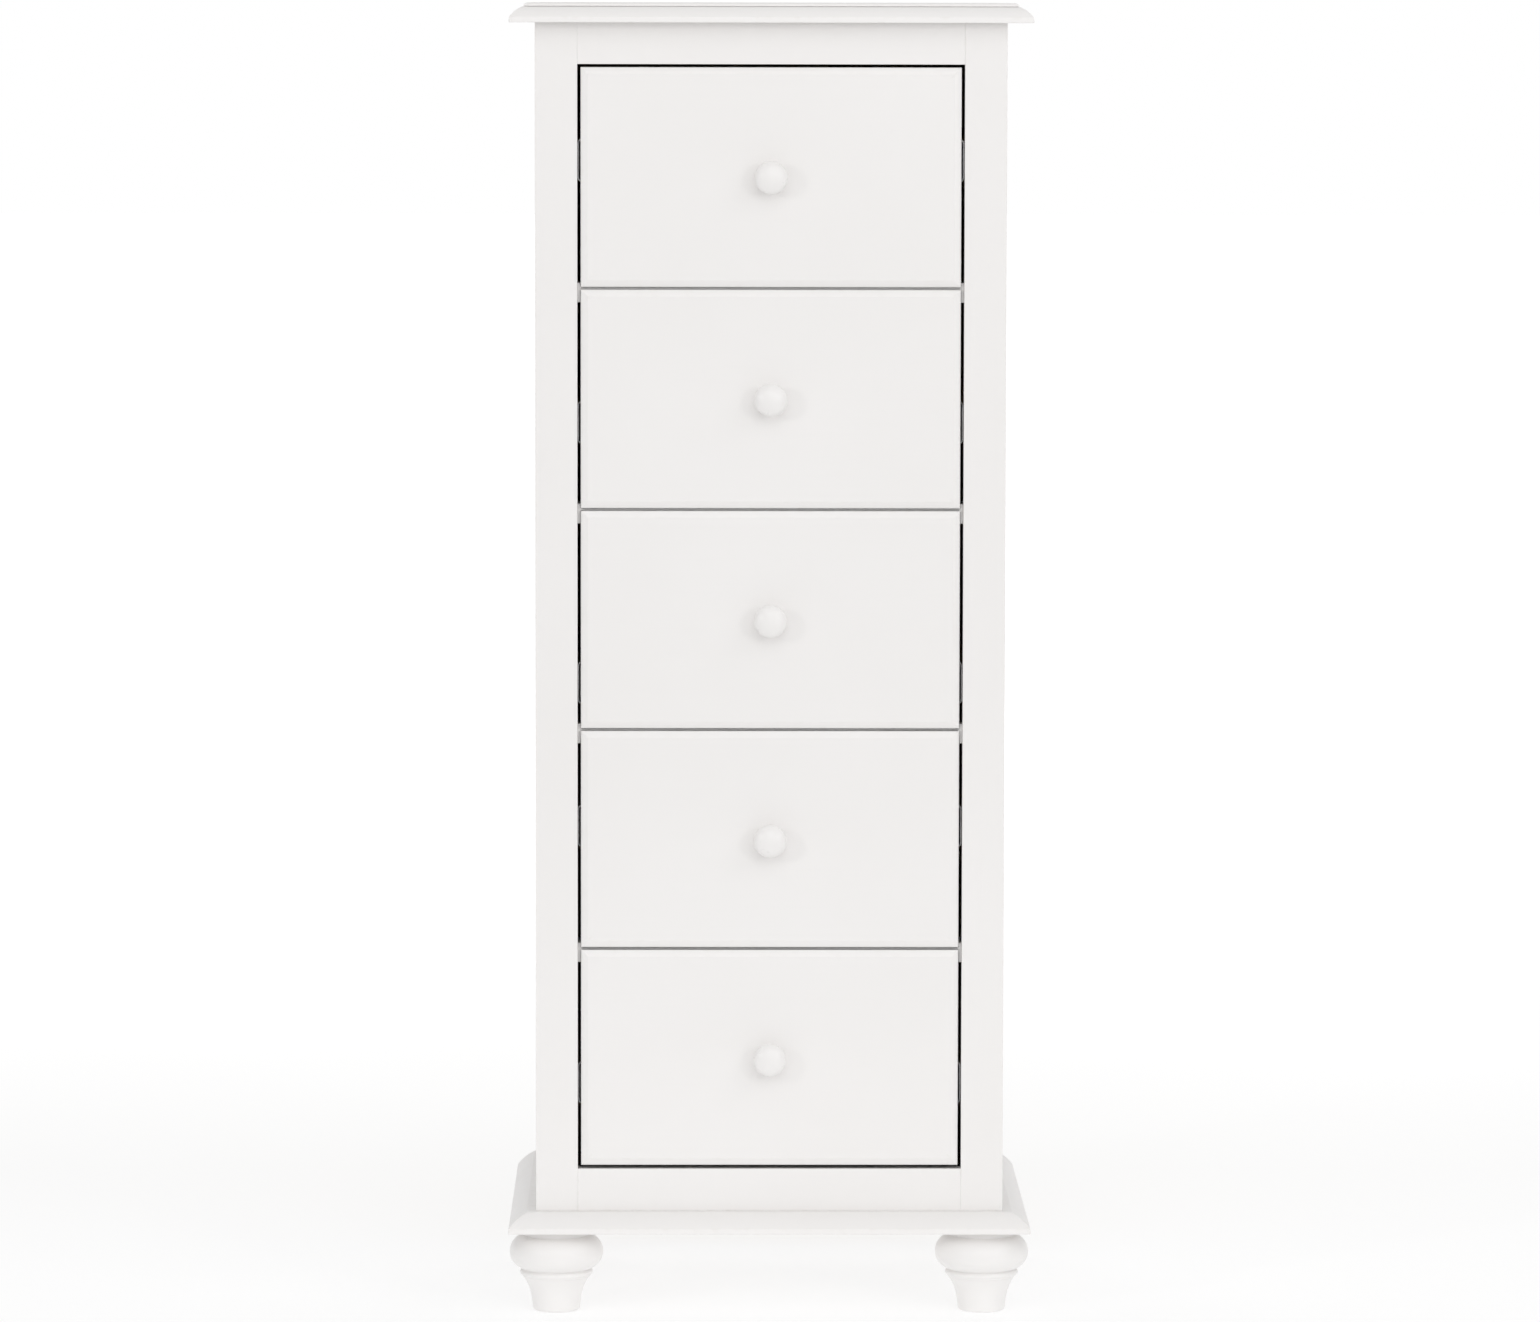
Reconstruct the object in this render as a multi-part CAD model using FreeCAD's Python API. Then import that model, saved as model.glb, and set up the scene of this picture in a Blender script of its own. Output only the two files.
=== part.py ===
import FreeCAD, Part
import math
import os

# Tall chest of five drawers on turned feet, in millimetres.
# +X is to the right, +Y to the back and +Z up. The origin is on the floor, under the middle of the
# whole chest. Each size in the first block can be changed by itself, and the rest follow from them.

# ---------------------------------------------------------------- driving sizes

CARCASS_WIDTH = 502.0
CARCASS_DEPTH = 415.0

DRAWER_COUNT = 5
FRONT_HEIGHT = 233.8
FRONT_THICKNESS = 18.0
FRONT_BEVEL_WIDTH = 7.5
FRONT_BEVEL_DEPTH = 2.5
FRONT_BACK_CLEARANCE = 2.0
GAP_BETWEEN_FRONTS = 2.2
GAP_ABOVE_FRONTS = 3.0
GAP_BELOW_FRONTS = 3.5
GAP_BESIDE_FRONTS = 3.3

STILE_WIDTH = 45.0
TOP_RAIL_HEIGHT = 44.0
BOTTOM_RAIL_HEIGHT = 46.0
TENON_LENGTH = 16.0
TENON_THICKNESS = 8.0
TENON_SHOULDER = 7.0
MORTISE_END_CLEARANCE = 1.0

SIDE_THICKNESS = 15.0
BACK_THICKNESS = 6.0
BACK_REBATE_WIDTH = 9.0

BOARD_THICKNESS = 21.0
TOP_OVERHANG = 27.0
BASE_OVERHANG = 29.5
LIP_HEIGHT = 6.0
LIP_LEAN = 0.5
OVOLO_BULGE = 1.5
TOP_OVOLO_WIDTH = 14.5
BASE_OVOLO_WIDTH = 19.0
BEAD_WIDTH = 5.0
BEAD_HEIGHT = 4.0

DIVIDER_HEIGHT = 21.0
DIVIDER_DEPTH = 50.0
DIVIDER_DROP = 4.7
# The fronts are rebated at the back along their top and bottom edges, so that their lips cover the dividers.
FRONT_LIP_THICKNESS = 4.5
FRONT_LIP_CLEARANCE = 1.0
REBATE_CLEARANCE = 1.5

BATTEN_MARGIN = 7.5
BLOCK_LEG = 28.0
BLOCK_LENGTH = 60.0

FOOT_HEIGHT = 90.0
FOOT_INSET = 51.0
BUN_RADIUS = 50.5
BUN_SECTION_RADIUS = 19.0
BUN_CENTRE_DROP = 25.9
NECK_RADIUS = 36.0
GROOVE_RADIUS = 38.2
GROOVE_WIDTH = 1.2
RING_RADIUS = 39.3
RING_HEIGHT = 6.5
COVE_TOP_RADIUS = 36.8
COVE_WAIST_RADIUS = 26.6
TOE_RADIUS = 25.6
TOE_ROUNDING = 4.0

BOLT_RADIUS = 4.0
BOLT_CLEARANCE = 0.2
BOLT_DEPTH_IN_FOOT = 32.0
BOLT_END_CLEARANCE = 2.0

# Runners are made in lengths one step apart, and the longest that fits is used.
RUNNER_LENGTH_STEP = 50.0
RUNNER_HEIGHT = 45.0
RUNNER_THICKNESS = 12.7
RUNNER_SETBACK = 2.0
RUNNER_STEEL = 1.2
RUNNER_BALL = 2.9
CABINET_LIP_CLEARANCE = 3.7
MIDDLE_WEB_OFFSET = 2.8
MIDDLE_LIP_CLEARANCE = 2.1
DRAWER_LIP_OFFSET = 5.2
# Where each drawer's runners sit, from the lowest place that its box sides allow, 0, to the highest, 1.
RUNNER_LEVELS = [0.68, 0.36, 0.04, 0.64, 0.33]

BOX_SIDE_THICKNESS = 12.0
BOX_BACK_THICKNESS = 12.0
BOX_RISE = 12.0
BOX_DROP = 26.0
BOX_PAST_RUNNERS = 2.0
BOX_BACK_LOWERING = 6.0
HOUSING_DEPTH = 6.0
BOX_BOTTOM_THICKNESS = 6.0
BOX_BOTTOM_RISE = 12.0
BOTTOM_GROOVE_DEPTH = 6.0
BOTTOM_SLACK = 0.5

KNOB_RADIUS = 17.5
KNOB_PROJECTION = 28.0
KNOB_COLLAR_RADIUS = 10.0
KNOB_COLLAR_LENGTH = 3.0
KNOB_NECK_RADIUS = 7.5
KNOB_HEAD_START = 10.0
KNOB_RIM_POSITION = 18.5
KNOB_SCREW_RADIUS = 2.0
KNOB_SCREW_HEAD_RADIUS = 4.5
KNOB_SCREW_HEAD_HEIGHT = 2.5
KNOB_SCREW_GRIP = 13.0
KNOB_SCREW_CLEARANCE = 0.25

BACK_SCREWS_PER_SIDE = 6
BACK_SCREW_RADIUS = 1.75
BACK_SCREW_HEAD_RADIUS = 3.6
BACK_SCREW_HEAD_DEPTH = 2.2
BACK_SCREW_LENGTH = 22.0
BACK_SCREW_EDGE = 4.5
BACK_SCREW_CLEARANCE = 0.2

# ---------------------------------------------------------------- sizes that follow

FRONT_PITCH = FRONT_HEIGHT + GAP_BETWEEN_FRONTS
OPENING_HEIGHT = DRAWER_COUNT * FRONT_PITCH - GAP_BETWEEN_FRONTS + GAP_ABOVE_FRONTS + GAP_BELOW_FRONTS

CARCASS_BOTTOM = FOOT_HEIGHT + BOARD_THICKNESS
OPENING_BOTTOM = CARCASS_BOTTOM + BOTTOM_RAIL_HEIGHT
OPENING_TOP = OPENING_BOTTOM + OPENING_HEIGHT
CARCASS_TOP = OPENING_TOP + TOP_RAIL_HEIGHT

REACH_FORWARD = max(BASE_OVERHANG, TOP_OVERHANG, KNOB_PROJECTION)
FACE_Y = REACH_FORWARD - (CARCASS_DEPTH + REACH_FORWARD) / 2
FRAME_THICKNESS = FRONT_THICKNESS + FRONT_BACK_CLEARANCE
FRAME_BACK_Y = FACE_Y + FRAME_THICKNESS
REAR_Y = FACE_Y + CARCASS_DEPTH
BACK_PANEL_Y = REAR_Y - BACK_THICKNESS

HALF_WIDTH = CARCASS_WIDTH / 2
OPENING_HALF = HALF_WIDTH - STILE_WIDTH
SIDE_INNER = HALF_WIDTH - SIDE_THICKNESS
FRONT_HALF = OPENING_HALF - GAP_BESIDE_FRONTS
BOX_HALF = OPENING_HALF - RUNNER_THICKNESS
BOX_INNER_HALF = BOX_HALF - BOX_SIDE_THICKNESS

FRONT_BACK_Y = FACE_Y + FRONT_THICKNESS
RUNNER_START_Y = FRAME_BACK_Y + RUNNER_SETBACK
RUNNER_LENGTH = (BACK_PANEL_Y - RUNNER_START_Y) // RUNNER_LENGTH_STEP * RUNNER_LENGTH_STEP
RUNNER_END_Y = RUNNER_START_Y + RUNNER_LENGTH
BOX_START_Y = FRONT_BACK_Y - HOUSING_DEPTH
BOX_END_Y = RUNNER_END_Y + BOX_PAST_RUNNERS
BOX_BACK_Y = BOX_END_Y - BOX_BACK_THICKNESS

DIVIDER_FRONT_Y = FACE_Y + FRONT_LIP_THICKNESS + FRONT_LIP_CLEARANCE
DIVIDER_REAR_Y = DIVIDER_FRONT_Y + DIVIDER_DEPTH

FOOT_X = HALF_WIDTH + BASE_OVERHANG - FOOT_INSET
FRONT_FOOT_Y = FACE_Y - BASE_OVERHANG + FOOT_INSET
REAR_FOOT_Y = REAR_Y - FOOT_INSET
BATTEN_HALF = RUNNER_HEIGHT / 2 + BATTEN_MARGIN

QUARTER_ARC_HANDLE = 4 * (math.sqrt(2) - 1) / 3
SIDES = {"left": -1, "right": 1}


def front_top(index):
    """Height of the top edge of one drawer front, counted from the top drawer down."""
    return OPENING_TOP - GAP_ABOVE_FRONTS - index * FRONT_PITCH


def divider_span(index):
    """Height span of the divider rail above one drawer front."""
    middle = front_top(index) + GAP_BETWEEN_FRONTS / 2 - DIVIDER_DROP
    return (middle - DIVIDER_HEIGHT / 2, middle + DIVIDER_HEIGHT / 2)


def box_span(index):
    """Height span of one drawer's box sides."""
    top = front_top(index)
    return (top - FRONT_HEIGHT + BOX_RISE, top - BOX_DROP)


def runner_height(index):
    """Height of the middle line of one drawer's runners."""
    lowest = box_span(index)[0] + BATTEN_HALF
    highest = box_span(index)[1] - BATTEN_HALF
    return lowest + RUNNER_LEVELS[index % len(RUNNER_LEVELS)] * (highest - lowest)


# ---------------------------------------------------------------- shape helpers

def block(x_span, y_span, z_span):
    """Rectangular board between the given spans."""
    corner = FreeCAD.Vector(x_span[0], y_span[0], z_span[0])
    return Part.makeBox(x_span[1] - x_span[0], y_span[1] - y_span[0], z_span[1] - z_span[0], corner)


def mirrored_block(side, x_near, x_far, y_span, z_span):
    """Board on the left or right whose X span is given by distances from the middle plane."""
    x_span = sorted([side * x_near, side * x_far])
    return block(x_span, y_span, z_span)


def straight(start, end):
    """Straight edge between two points."""
    return Part.LineSegment(start, end).toShape()


def first_point(edge):
    """Point where an edge starts."""
    return edge.firstVertex(True).Point


def last_point(edge):
    """Point where an edge ends."""
    return edge.lastVertex(True).Point


def quarter_round(start, corner, end):
    """Quarter of an ellipse from start to end that bulges towards the given corner."""
    first_handle = start + (corner - start) * QUARTER_ARC_HANDLE
    last_handle = end + (corner - end) * QUARTER_ARC_HANDLE
    curve = Part.BezierCurve()
    curve.setPoles([start, first_handle, last_handle, end])
    return curve.toShape()


def polygon_face(points):
    """Flat face inside a closed outline of straight edges."""
    return Part.Face(Part.makePolygon(points + points[:1]))


def revolved(edges, base, axis):
    """Solid turned from an open outline that starts and ends on its axis."""
    outline = Part.Wire(edges + [straight(last_point(edges[-1]), first_point(edges[0]))])
    return Part.Face(outline).revolve(base, axis, 360)


def save(node, shape):
    """Write one node's STEP file."""
    if not shape.isValid():
        raise ValueError(node + " is not a valid shape")
    shape.exportStep("parts/" + node + ".step")


# ---------------------------------------------------------------- top and base boards

def moulded_end(place, overhang, board_bottom, ovolo_width, bead_width, bead_height):
    """Edges of the moulding from the bottom arris up to the flat shoulder: lip, shallow ovolo and bead.

    place turns a distance out from the carcass and a height into a point. A bead width of 0 leaves
    the bead out.
    """
    board_top = board_bottom + BOARD_THICKNESS
    lip_top = board_bottom + LIP_HEIGHT
    ovolo_top = board_top - bead_height
    outer = overhang - LIP_LEAN
    inner = outer - ovolo_width
    height = ovolo_top - lip_top
    slope_length = math.hypot(ovolo_width, height)
    crown_out = (outer + inner) / 2 + OVOLO_BULGE * height / slope_length
    crown_height = (lip_top + ovolo_top) / 2 + OVOLO_BULGE * ovolo_width / slope_length
    ovolo = Part.Arc(place(outer, lip_top), place(crown_out, crown_height), place(inner, ovolo_top))
    edges = [straight(place(overhang, board_bottom), place(outer, lip_top)), ovolo.toShape()]
    if bead_width > 0:
        edges.append(quarter_round(place(inner, ovolo_top), place(inner, board_top),
                                   place(inner - bead_width, board_top)))
    return edges


def moulded_board(overhang, bottom, ovolo_width, bead_width, bead_height):
    """Board with the moulding on its front and both ends, mitred at the corners."""
    half = HALF_WIDTH + overhang
    front_y = FACE_Y - overhang
    top = bottom + BOARD_THICKNESS

    def end_edges(place):
        return moulded_end(place, overhang, bottom, ovolo_width, bead_width, bead_height)

    front_edges = end_edges(lambda out, z: FreeCAD.Vector(-half, FACE_Y - out, z))
    shoulder = last_point(front_edges[-1])
    rear_top = FreeCAD.Vector(-half, REAR_Y, top)
    rear_bottom = FreeCAD.Vector(-half, REAR_Y, bottom)
    front_bottom = first_point(front_edges[0])
    rear_edges = [
        straight(shoulder, rear_top),
        straight(rear_top, rear_bottom),
        straight(rear_bottom, front_bottom),
    ]
    across = Part.Face(Part.Wire(front_edges + rear_edges)).extrude(FreeCAD.Vector(2 * half, 0, 0))

    right_edges = end_edges(lambda out, z: FreeCAD.Vector(HALF_WIDTH + out, front_y, z))
    left_edges = end_edges(lambda out, z: FreeCAD.Vector(-HALF_WIDTH - out, front_y, z))
    top_edge = straight(last_point(right_edges[-1]), last_point(left_edges[-1]))
    bottom_edge = straight(first_point(left_edges[0]), first_point(right_edges[0]))
    outline = Part.Wire(Part.__sortEdges__(right_edges + [top_edge] + left_edges + [bottom_edge]))
    along = Part.Face(outline).extrude(FreeCAD.Vector(0, CARCASS_DEPTH + overhang, 0))
    return across.common(along).Solids[0]


def foot_centres():
    """Name and plan position of each foot."""
    for row, y in (("front", FRONT_FOOT_Y), ("rear", REAR_FOOT_Y)):
        for side, sign in SIDES.items():
            yield row + "_" + side, sign * FOOT_X, y


def base_board():
    """Moulded board under the carcass, bored for the foot bolts."""
    board = moulded_board(BASE_OVERHANG, FOOT_HEIGHT, BASE_OVOLO_WIDTH, 0.0, 0.0)
    for _, x, y in foot_centres():
        start = FreeCAD.Vector(x, y, FOOT_HEIGHT)
        board = board.cut(Part.makeCylinder(BOLT_RADIUS + BOLT_CLEARANCE, BOARD_THICKNESS, start))
    return board


# ---------------------------------------------------------------- carcass

def tenon_span(rail_bottom, rail_height):
    """Height span of the tenon on a rail."""
    return (rail_bottom + TENON_SHOULDER, rail_bottom + rail_height - TENON_SHOULDER)


def tenon_depth_span():
    """Depth span of the tenons, centred in the frame's thickness."""
    start = FACE_Y + (FRAME_THICKNESS - TENON_THICKNESS) / 2
    return (start, start + TENON_THICKNESS)


RAILS = {
    "top_rail": (OPENING_TOP, TOP_RAIL_HEIGHT),
    "bottom_rail": (CARCASS_BOTTOM, BOTTOM_RAIL_HEIGHT),
}


def face_rail(bottom, height):
    """Rail of the face frame with a tenon at each end."""
    body = block((-OPENING_HALF, OPENING_HALF), (FACE_Y, FRAME_BACK_Y), (bottom, bottom + height))
    tenon_half = OPENING_HALF + TENON_LENGTH
    tenons = block((-tenon_half, tenon_half), tenon_depth_span(), tenon_span(bottom, height))
    return body.fuse(tenons).removeSplitter()


def stile(side):
    """Upright of the face frame with a mortise for each rail."""
    frame_span = (FACE_Y, FRAME_BACK_Y)
    post = mirrored_block(side, OPENING_HALF, HALF_WIDTH, frame_span, (CARCASS_BOTTOM, CARCASS_TOP))
    mortise_end = OPENING_HALF + TENON_LENGTH + MORTISE_END_CLEARANCE
    for bottom, height in RAILS.values():
        z_span = tenon_span(bottom, height)
        post = post.cut(mirrored_block(side, OPENING_HALF, mortise_end, tenon_depth_span(), z_span))
    return post


def back_screw_points():
    """X and Z of every screw through the back panel."""
    spacing = (CARCASS_TOP - CARCASS_BOTTOM) / BACK_SCREWS_PER_SIDE
    for sign in SIDES.values():
        for row in range(BACK_SCREWS_PER_SIDE):
            x = sign * (SIDE_INNER + BACK_REBATE_WIDTH - BACK_SCREW_EDGE)
            yield x, CARCASS_BOTTOM + (row + 0.5) * spacing


def screw_hole(x, z):
    """Bore and countersink for one back panel screw, cut in from the rear."""
    forward = FreeCAD.Vector(0, -1, 0)
    start = FreeCAD.Vector(x, REAR_Y, z)
    bore = Part.makeCylinder(BACK_SCREW_RADIUS + BACK_SCREW_CLEARANCE, BACK_SCREW_LENGTH + 1, start, forward)
    sink = Part.makeCone(BACK_SCREW_HEAD_RADIUS, BACK_SCREW_RADIUS, BACK_SCREW_HEAD_DEPTH, start, forward)
    return bore.fuse(sink)


def side_panel(side):
    """Side of the carcass, rebated at the rear for the back panel."""
    z_span = (CARCASS_BOTTOM, CARCASS_TOP)
    panel = mirrored_block(side, SIDE_INNER, HALF_WIDTH, (FRAME_BACK_Y, REAR_Y), z_span)
    rebate_far = SIDE_INNER + BACK_REBATE_WIDTH
    panel = panel.cut(mirrored_block(side, SIDE_INNER, rebate_far, (BACK_PANEL_Y, REAR_Y), z_span))
    for x, z in back_screw_points():
        if x * side > 0:
            panel = panel.cut(screw_hole(x, z))
    return panel


def back_panel():
    """Thin panel in the rebates, bored and countersunk for its screws."""
    half = SIDE_INNER + BACK_REBATE_WIDTH
    panel = block((-half, half), (BACK_PANEL_Y, REAR_Y), (CARCASS_BOTTOM, CARCASS_TOP))
    for x, z in back_screw_points():
        panel = panel.cut(screw_hole(x, z))
    return panel


def back_screws():
    """Countersunk screws that hold the back panel."""
    forward = FreeCAD.Vector(0, -1, 0)
    screws = []
    for x, z in back_screw_points():
        start = FreeCAD.Vector(x, REAR_Y, z)
        head = Part.makeCone(BACK_SCREW_HEAD_RADIUS, BACK_SCREW_RADIUS, BACK_SCREW_HEAD_DEPTH, start, forward)
        shank = Part.makeCylinder(BACK_SCREW_RADIUS, BACK_SCREW_LENGTH, start, forward)
        screws.append(head.fuse(shank).removeSplitter())
    return Part.makeCompound(screws)


def divider_rails():
    """Rail behind each gap between two fronts, shouldered round the backs of the stiles."""
    rails = []
    for index in range(1, DRAWER_COUNT):
        z_span = divider_span(index)
        between = block((-OPENING_HALF, OPENING_HALF), (DIVIDER_FRONT_Y, FRAME_BACK_Y), z_span)
        behind = block((-SIDE_INNER, SIDE_INNER), (FRAME_BACK_Y, DIVIDER_REAR_Y), z_span)
        rails.append(between.fuse(behind).removeSplitter())
    return Part.makeCompound(rails)


def runner_battens(side):
    """Packing battens that bring the runners out to the edge of the opening."""
    battens = []
    for index in range(DRAWER_COUNT):
        middle = runner_height(index)
        z_span = (middle - BATTEN_HALF, middle + BATTEN_HALF)
        battens.append(mirrored_block(side, OPENING_HALF, SIDE_INNER, (FRAME_BACK_Y, RUNNER_END_Y), z_span))
    return Part.makeCompound(battens)


def corner_block(side, y_start, level, upward):
    """Triangular glue block between a side panel and the board above or below it."""
    corner = FreeCAD.Vector(side * SIDE_INNER, y_start, level)
    inward = FreeCAD.Vector(side * (SIDE_INNER - BLOCK_LEG), y_start, level)
    along_side = FreeCAD.Vector(side * SIDE_INNER, y_start, level + upward * BLOCK_LEG)
    return polygon_face([corner, inward, along_side]).extrude(FreeCAD.Vector(0, BLOCK_LENGTH, 0))


def corner_blocks():
    """Glue blocks that hold the top panel and the base board to the sides."""
    blocks = []
    front_y = FRAME_BACK_Y + BLOCK_LENGTH / 2
    rear_y = BACK_PANEL_Y - BLOCK_LENGTH * 3 / 2
    for sign in SIDES.values():
        for y_start in (front_y, rear_y):
            blocks.append(corner_block(sign, y_start, CARCASS_TOP, -1))
            blocks.append(corner_block(sign, y_start, CARCASS_BOTTOM, 1))
    return Part.makeCompound(blocks)


# ---------------------------------------------------------------- feet

def foot(x, y):
    """Turned foot: toe, flared cove, ring, groove, bun and neck, bored for its bolt."""
    def at(radius, z):
        return FreeCAD.Vector(x + radius, y, z)

    def bun_rise(radius):
        return math.sqrt(BUN_SECTION_RADIUS ** 2 - (radius - BUN_RADIUS + BUN_SECTION_RADIUS) ** 2)

    bun_centre = FOOT_HEIGHT - BUN_CENTRE_DROP
    bun_start = at(GROOVE_RADIUS, bun_centre - bun_rise(GROOVE_RADIUS))
    bun_end = at(NECK_RADIUS, bun_centre + bun_rise(NECK_RADIUS))
    ring_top = bun_start.z - GROOVE_WIDTH
    ring_bottom = ring_top - RING_HEIGHT
    cove_height = ring_bottom - TOE_ROUNDING
    ring_start = at(COVE_TOP_RADIUS, ring_bottom)
    ring_end = at(GROOVE_RADIUS, ring_top)

    cove = Part.BezierCurve()
    cove.setPoles([at(TOE_RADIUS, TOE_ROUNDING), at(COVE_WAIST_RADIUS, TOE_ROUNDING + cove_height / 4),
                   at(COVE_WAIST_RADIUS, TOE_ROUNDING + cove_height * 3 / 5), ring_start])
    toe_flat = at(TOE_RADIUS - TOE_ROUNDING, 0)
    edges = [
        straight(at(0, 0), toe_flat),
        quarter_round(toe_flat, at(TOE_RADIUS, 0), at(TOE_RADIUS, TOE_ROUNDING)),
        cove.toShape(),
        Part.Arc(ring_start, at(RING_RADIUS, (ring_bottom + ring_top) / 2), ring_end).toShape(),
        straight(ring_end, bun_start),
        Part.Arc(bun_start, at(BUN_RADIUS, bun_centre), bun_end).toShape(),
        straight(bun_end, at(NECK_RADIUS, FOOT_HEIGHT)),
        straight(at(NECK_RADIUS, FOOT_HEIGHT), at(0, FOOT_HEIGHT)),
    ]
    turned = revolved(edges, FreeCAD.Vector(x, y, 0), FreeCAD.Vector(0, 0, 1))
    bore_start = FreeCAD.Vector(x, y, FOOT_HEIGHT - BOLT_DEPTH_IN_FOOT)
    return turned.cut(Part.makeCylinder(BOLT_RADIUS + BOLT_CLEARANCE, BOLT_DEPTH_IN_FOOT, bore_start))


def foot_bolts():
    """Bolt that joins each foot to the base board."""
    bottom = FOOT_HEIGHT - BOLT_DEPTH_IN_FOOT
    length = BOLT_DEPTH_IN_FOOT + BOARD_THICKNESS - BOLT_END_CLEARANCE
    starts = [FreeCAD.Vector(x, y, bottom) for _, x, y in foot_centres()]
    return Part.makeCompound([Part.makeCylinder(BOLT_RADIUS, length, start) for start in starts])


# ---------------------------------------------------------------- drawers

def bottom_span(index):
    """Height span of one drawer's bottom panel."""
    low = box_span(index)[0] + BOX_BOTTOM_RISE
    return (low, low + BOX_BOTTOM_THICKNESS)


def bottom_panel_block(index, slack):
    """Space that one drawer's bottom fills, less the slack on its three grooved edges."""
    half = BOX_INNER_HALF + BOTTOM_GROOVE_DEPTH - slack
    front_y = FRONT_BACK_Y - BOTTOM_GROOVE_DEPTH + slack
    return block((-half, half), (front_y, BOX_END_Y), bottom_span(index))


def bevelled_outline(low, high, place):
    """Flat outline of a front with both face corners bevelled, from its low edge to its high edge."""
    bevel_y = FACE_Y + FRONT_BEVEL_DEPTH
    return polygon_face([
        place(low, FRONT_BACK_Y), place(low, bevel_y), place(low + FRONT_BEVEL_WIDTH, FACE_Y),
        place(high - FRONT_BEVEL_WIDTH, FACE_Y), place(high, bevel_y), place(high, FRONT_BACK_Y)])


def drawer_front(index):
    """Front bevelled all round, rebated for the dividers, housed for the box and bored for the knob."""
    top = front_top(index)
    bottom = top - FRONT_HEIGHT
    plan = bevelled_outline(-FRONT_HALF, FRONT_HALF, lambda x, y: FreeCAD.Vector(x, y, bottom))
    section = bevelled_outline(bottom, top, lambda z, y: FreeCAD.Vector(-FRONT_HALF, y, z))
    upright = plan.extrude(FreeCAD.Vector(0, 0, FRONT_HEIGHT))
    level = section.extrude(FreeCAD.Vector(2 * FRONT_HALF, 0, 0))
    front = upright.common(level)
    rebate_depth = (FACE_Y + FRONT_LIP_THICKNESS, FRONT_BACK_Y)
    for z_span in ((divider_span(index)[0] - REBATE_CLEARANCE, top),
                   (bottom, divider_span(index + 1)[1] + REBATE_CLEARANCE)):
        front = front.cut(block((-FRONT_HALF, FRONT_HALF), rebate_depth, z_span))
    housing_span = (BOX_START_Y, FRONT_BACK_Y)
    for sign in SIDES.values():
        front = front.cut(mirrored_block(sign, BOX_INNER_HALF, BOX_HALF, housing_span, box_span(index)))
    front = front.cut(bottom_panel_block(index, 0))
    hole_start = FreeCAD.Vector(0, FACE_Y, knob_height(index))
    hole_radius = KNOB_SCREW_RADIUS + KNOB_SCREW_CLEARANCE
    front = front.cut(Part.makeCylinder(hole_radius, FRONT_THICKNESS, hole_start, FreeCAD.Vector(0, 1, 0)))
    return front.Solids[0]


def drawer_side(index, side):
    """Side of the drawer box, grooved for the bottom."""
    board = mirrored_block(side, BOX_INNER_HALF, BOX_HALF, (BOX_START_Y, BOX_END_Y), box_span(index))
    return board.cut(bottom_panel_block(index, 0))


def drawer_back(index):
    """Back of the drawer box, resting on the bottom and a little lower than the sides."""
    z_span = (bottom_span(index)[1], box_span(index)[1] - BOX_BACK_LOWERING)
    return block((-BOX_INNER_HALF, BOX_INNER_HALF), (BOX_BACK_Y, BOX_END_Y), z_span)


def drawer_bottom(index):
    """Bottom panel, in grooves on three edges and under the back."""
    return bottom_panel_block(index, BOTTOM_SLACK)


def knob_height(index):
    """Height of the knob, at the middle of its front."""
    return front_top(index) - FRONT_HEIGHT / 2


def knob(index):
    """Turned knob with its machine screw, whose head bears on the inside of the front."""
    height = knob_height(index)

    def at(radius, out):
        return FreeCAD.Vector(radius, FACE_Y - out, height)

    shoulder = at(KNOB_RADIUS, KNOB_RIM_POSITION)
    edges = [
        straight(at(0, 0), at(KNOB_COLLAR_RADIUS, 0)),
        quarter_round(at(KNOB_COLLAR_RADIUS, 0), at(KNOB_COLLAR_RADIUS, KNOB_COLLAR_LENGTH),
                      at(KNOB_NECK_RADIUS, KNOB_COLLAR_LENGTH)),
        straight(at(KNOB_NECK_RADIUS, KNOB_COLLAR_LENGTH), at(KNOB_NECK_RADIUS, KNOB_HEAD_START)),
        quarter_round(at(KNOB_NECK_RADIUS, KNOB_HEAD_START), at(KNOB_RADIUS, KNOB_HEAD_START), shoulder),
        quarter_round(shoulder, at(KNOB_RADIUS, KNOB_PROJECTION), at(0, KNOB_PROJECTION)),
    ]
    base = FreeCAD.Vector(0, FACE_Y, height)
    forward = FreeCAD.Vector(0, -1, 0)
    turned = revolved(edges, base, forward)
    grip = KNOB_SCREW_GRIP
    turned = turned.cut(Part.makeCylinder(KNOB_SCREW_RADIUS + KNOB_SCREW_CLEARANCE, grip, base, forward))

    head_start = FreeCAD.Vector(0, FRONT_BACK_Y + KNOB_SCREW_HEAD_HEIGHT, height)
    head = Part.makeCylinder(KNOB_SCREW_HEAD_RADIUS, KNOB_SCREW_HEAD_HEIGHT, head_start, forward)
    shank_length = KNOB_SCREW_HEAD_HEIGHT + FRONT_THICKNESS + grip
    shank = Part.makeCylinder(KNOB_SCREW_RADIUS, shank_length, head_start, forward)
    return Part.makeCompound([turned, head.fuse(shank).removeSplitter()])


# ---------------------------------------------------------------- ball-bearing runners

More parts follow.
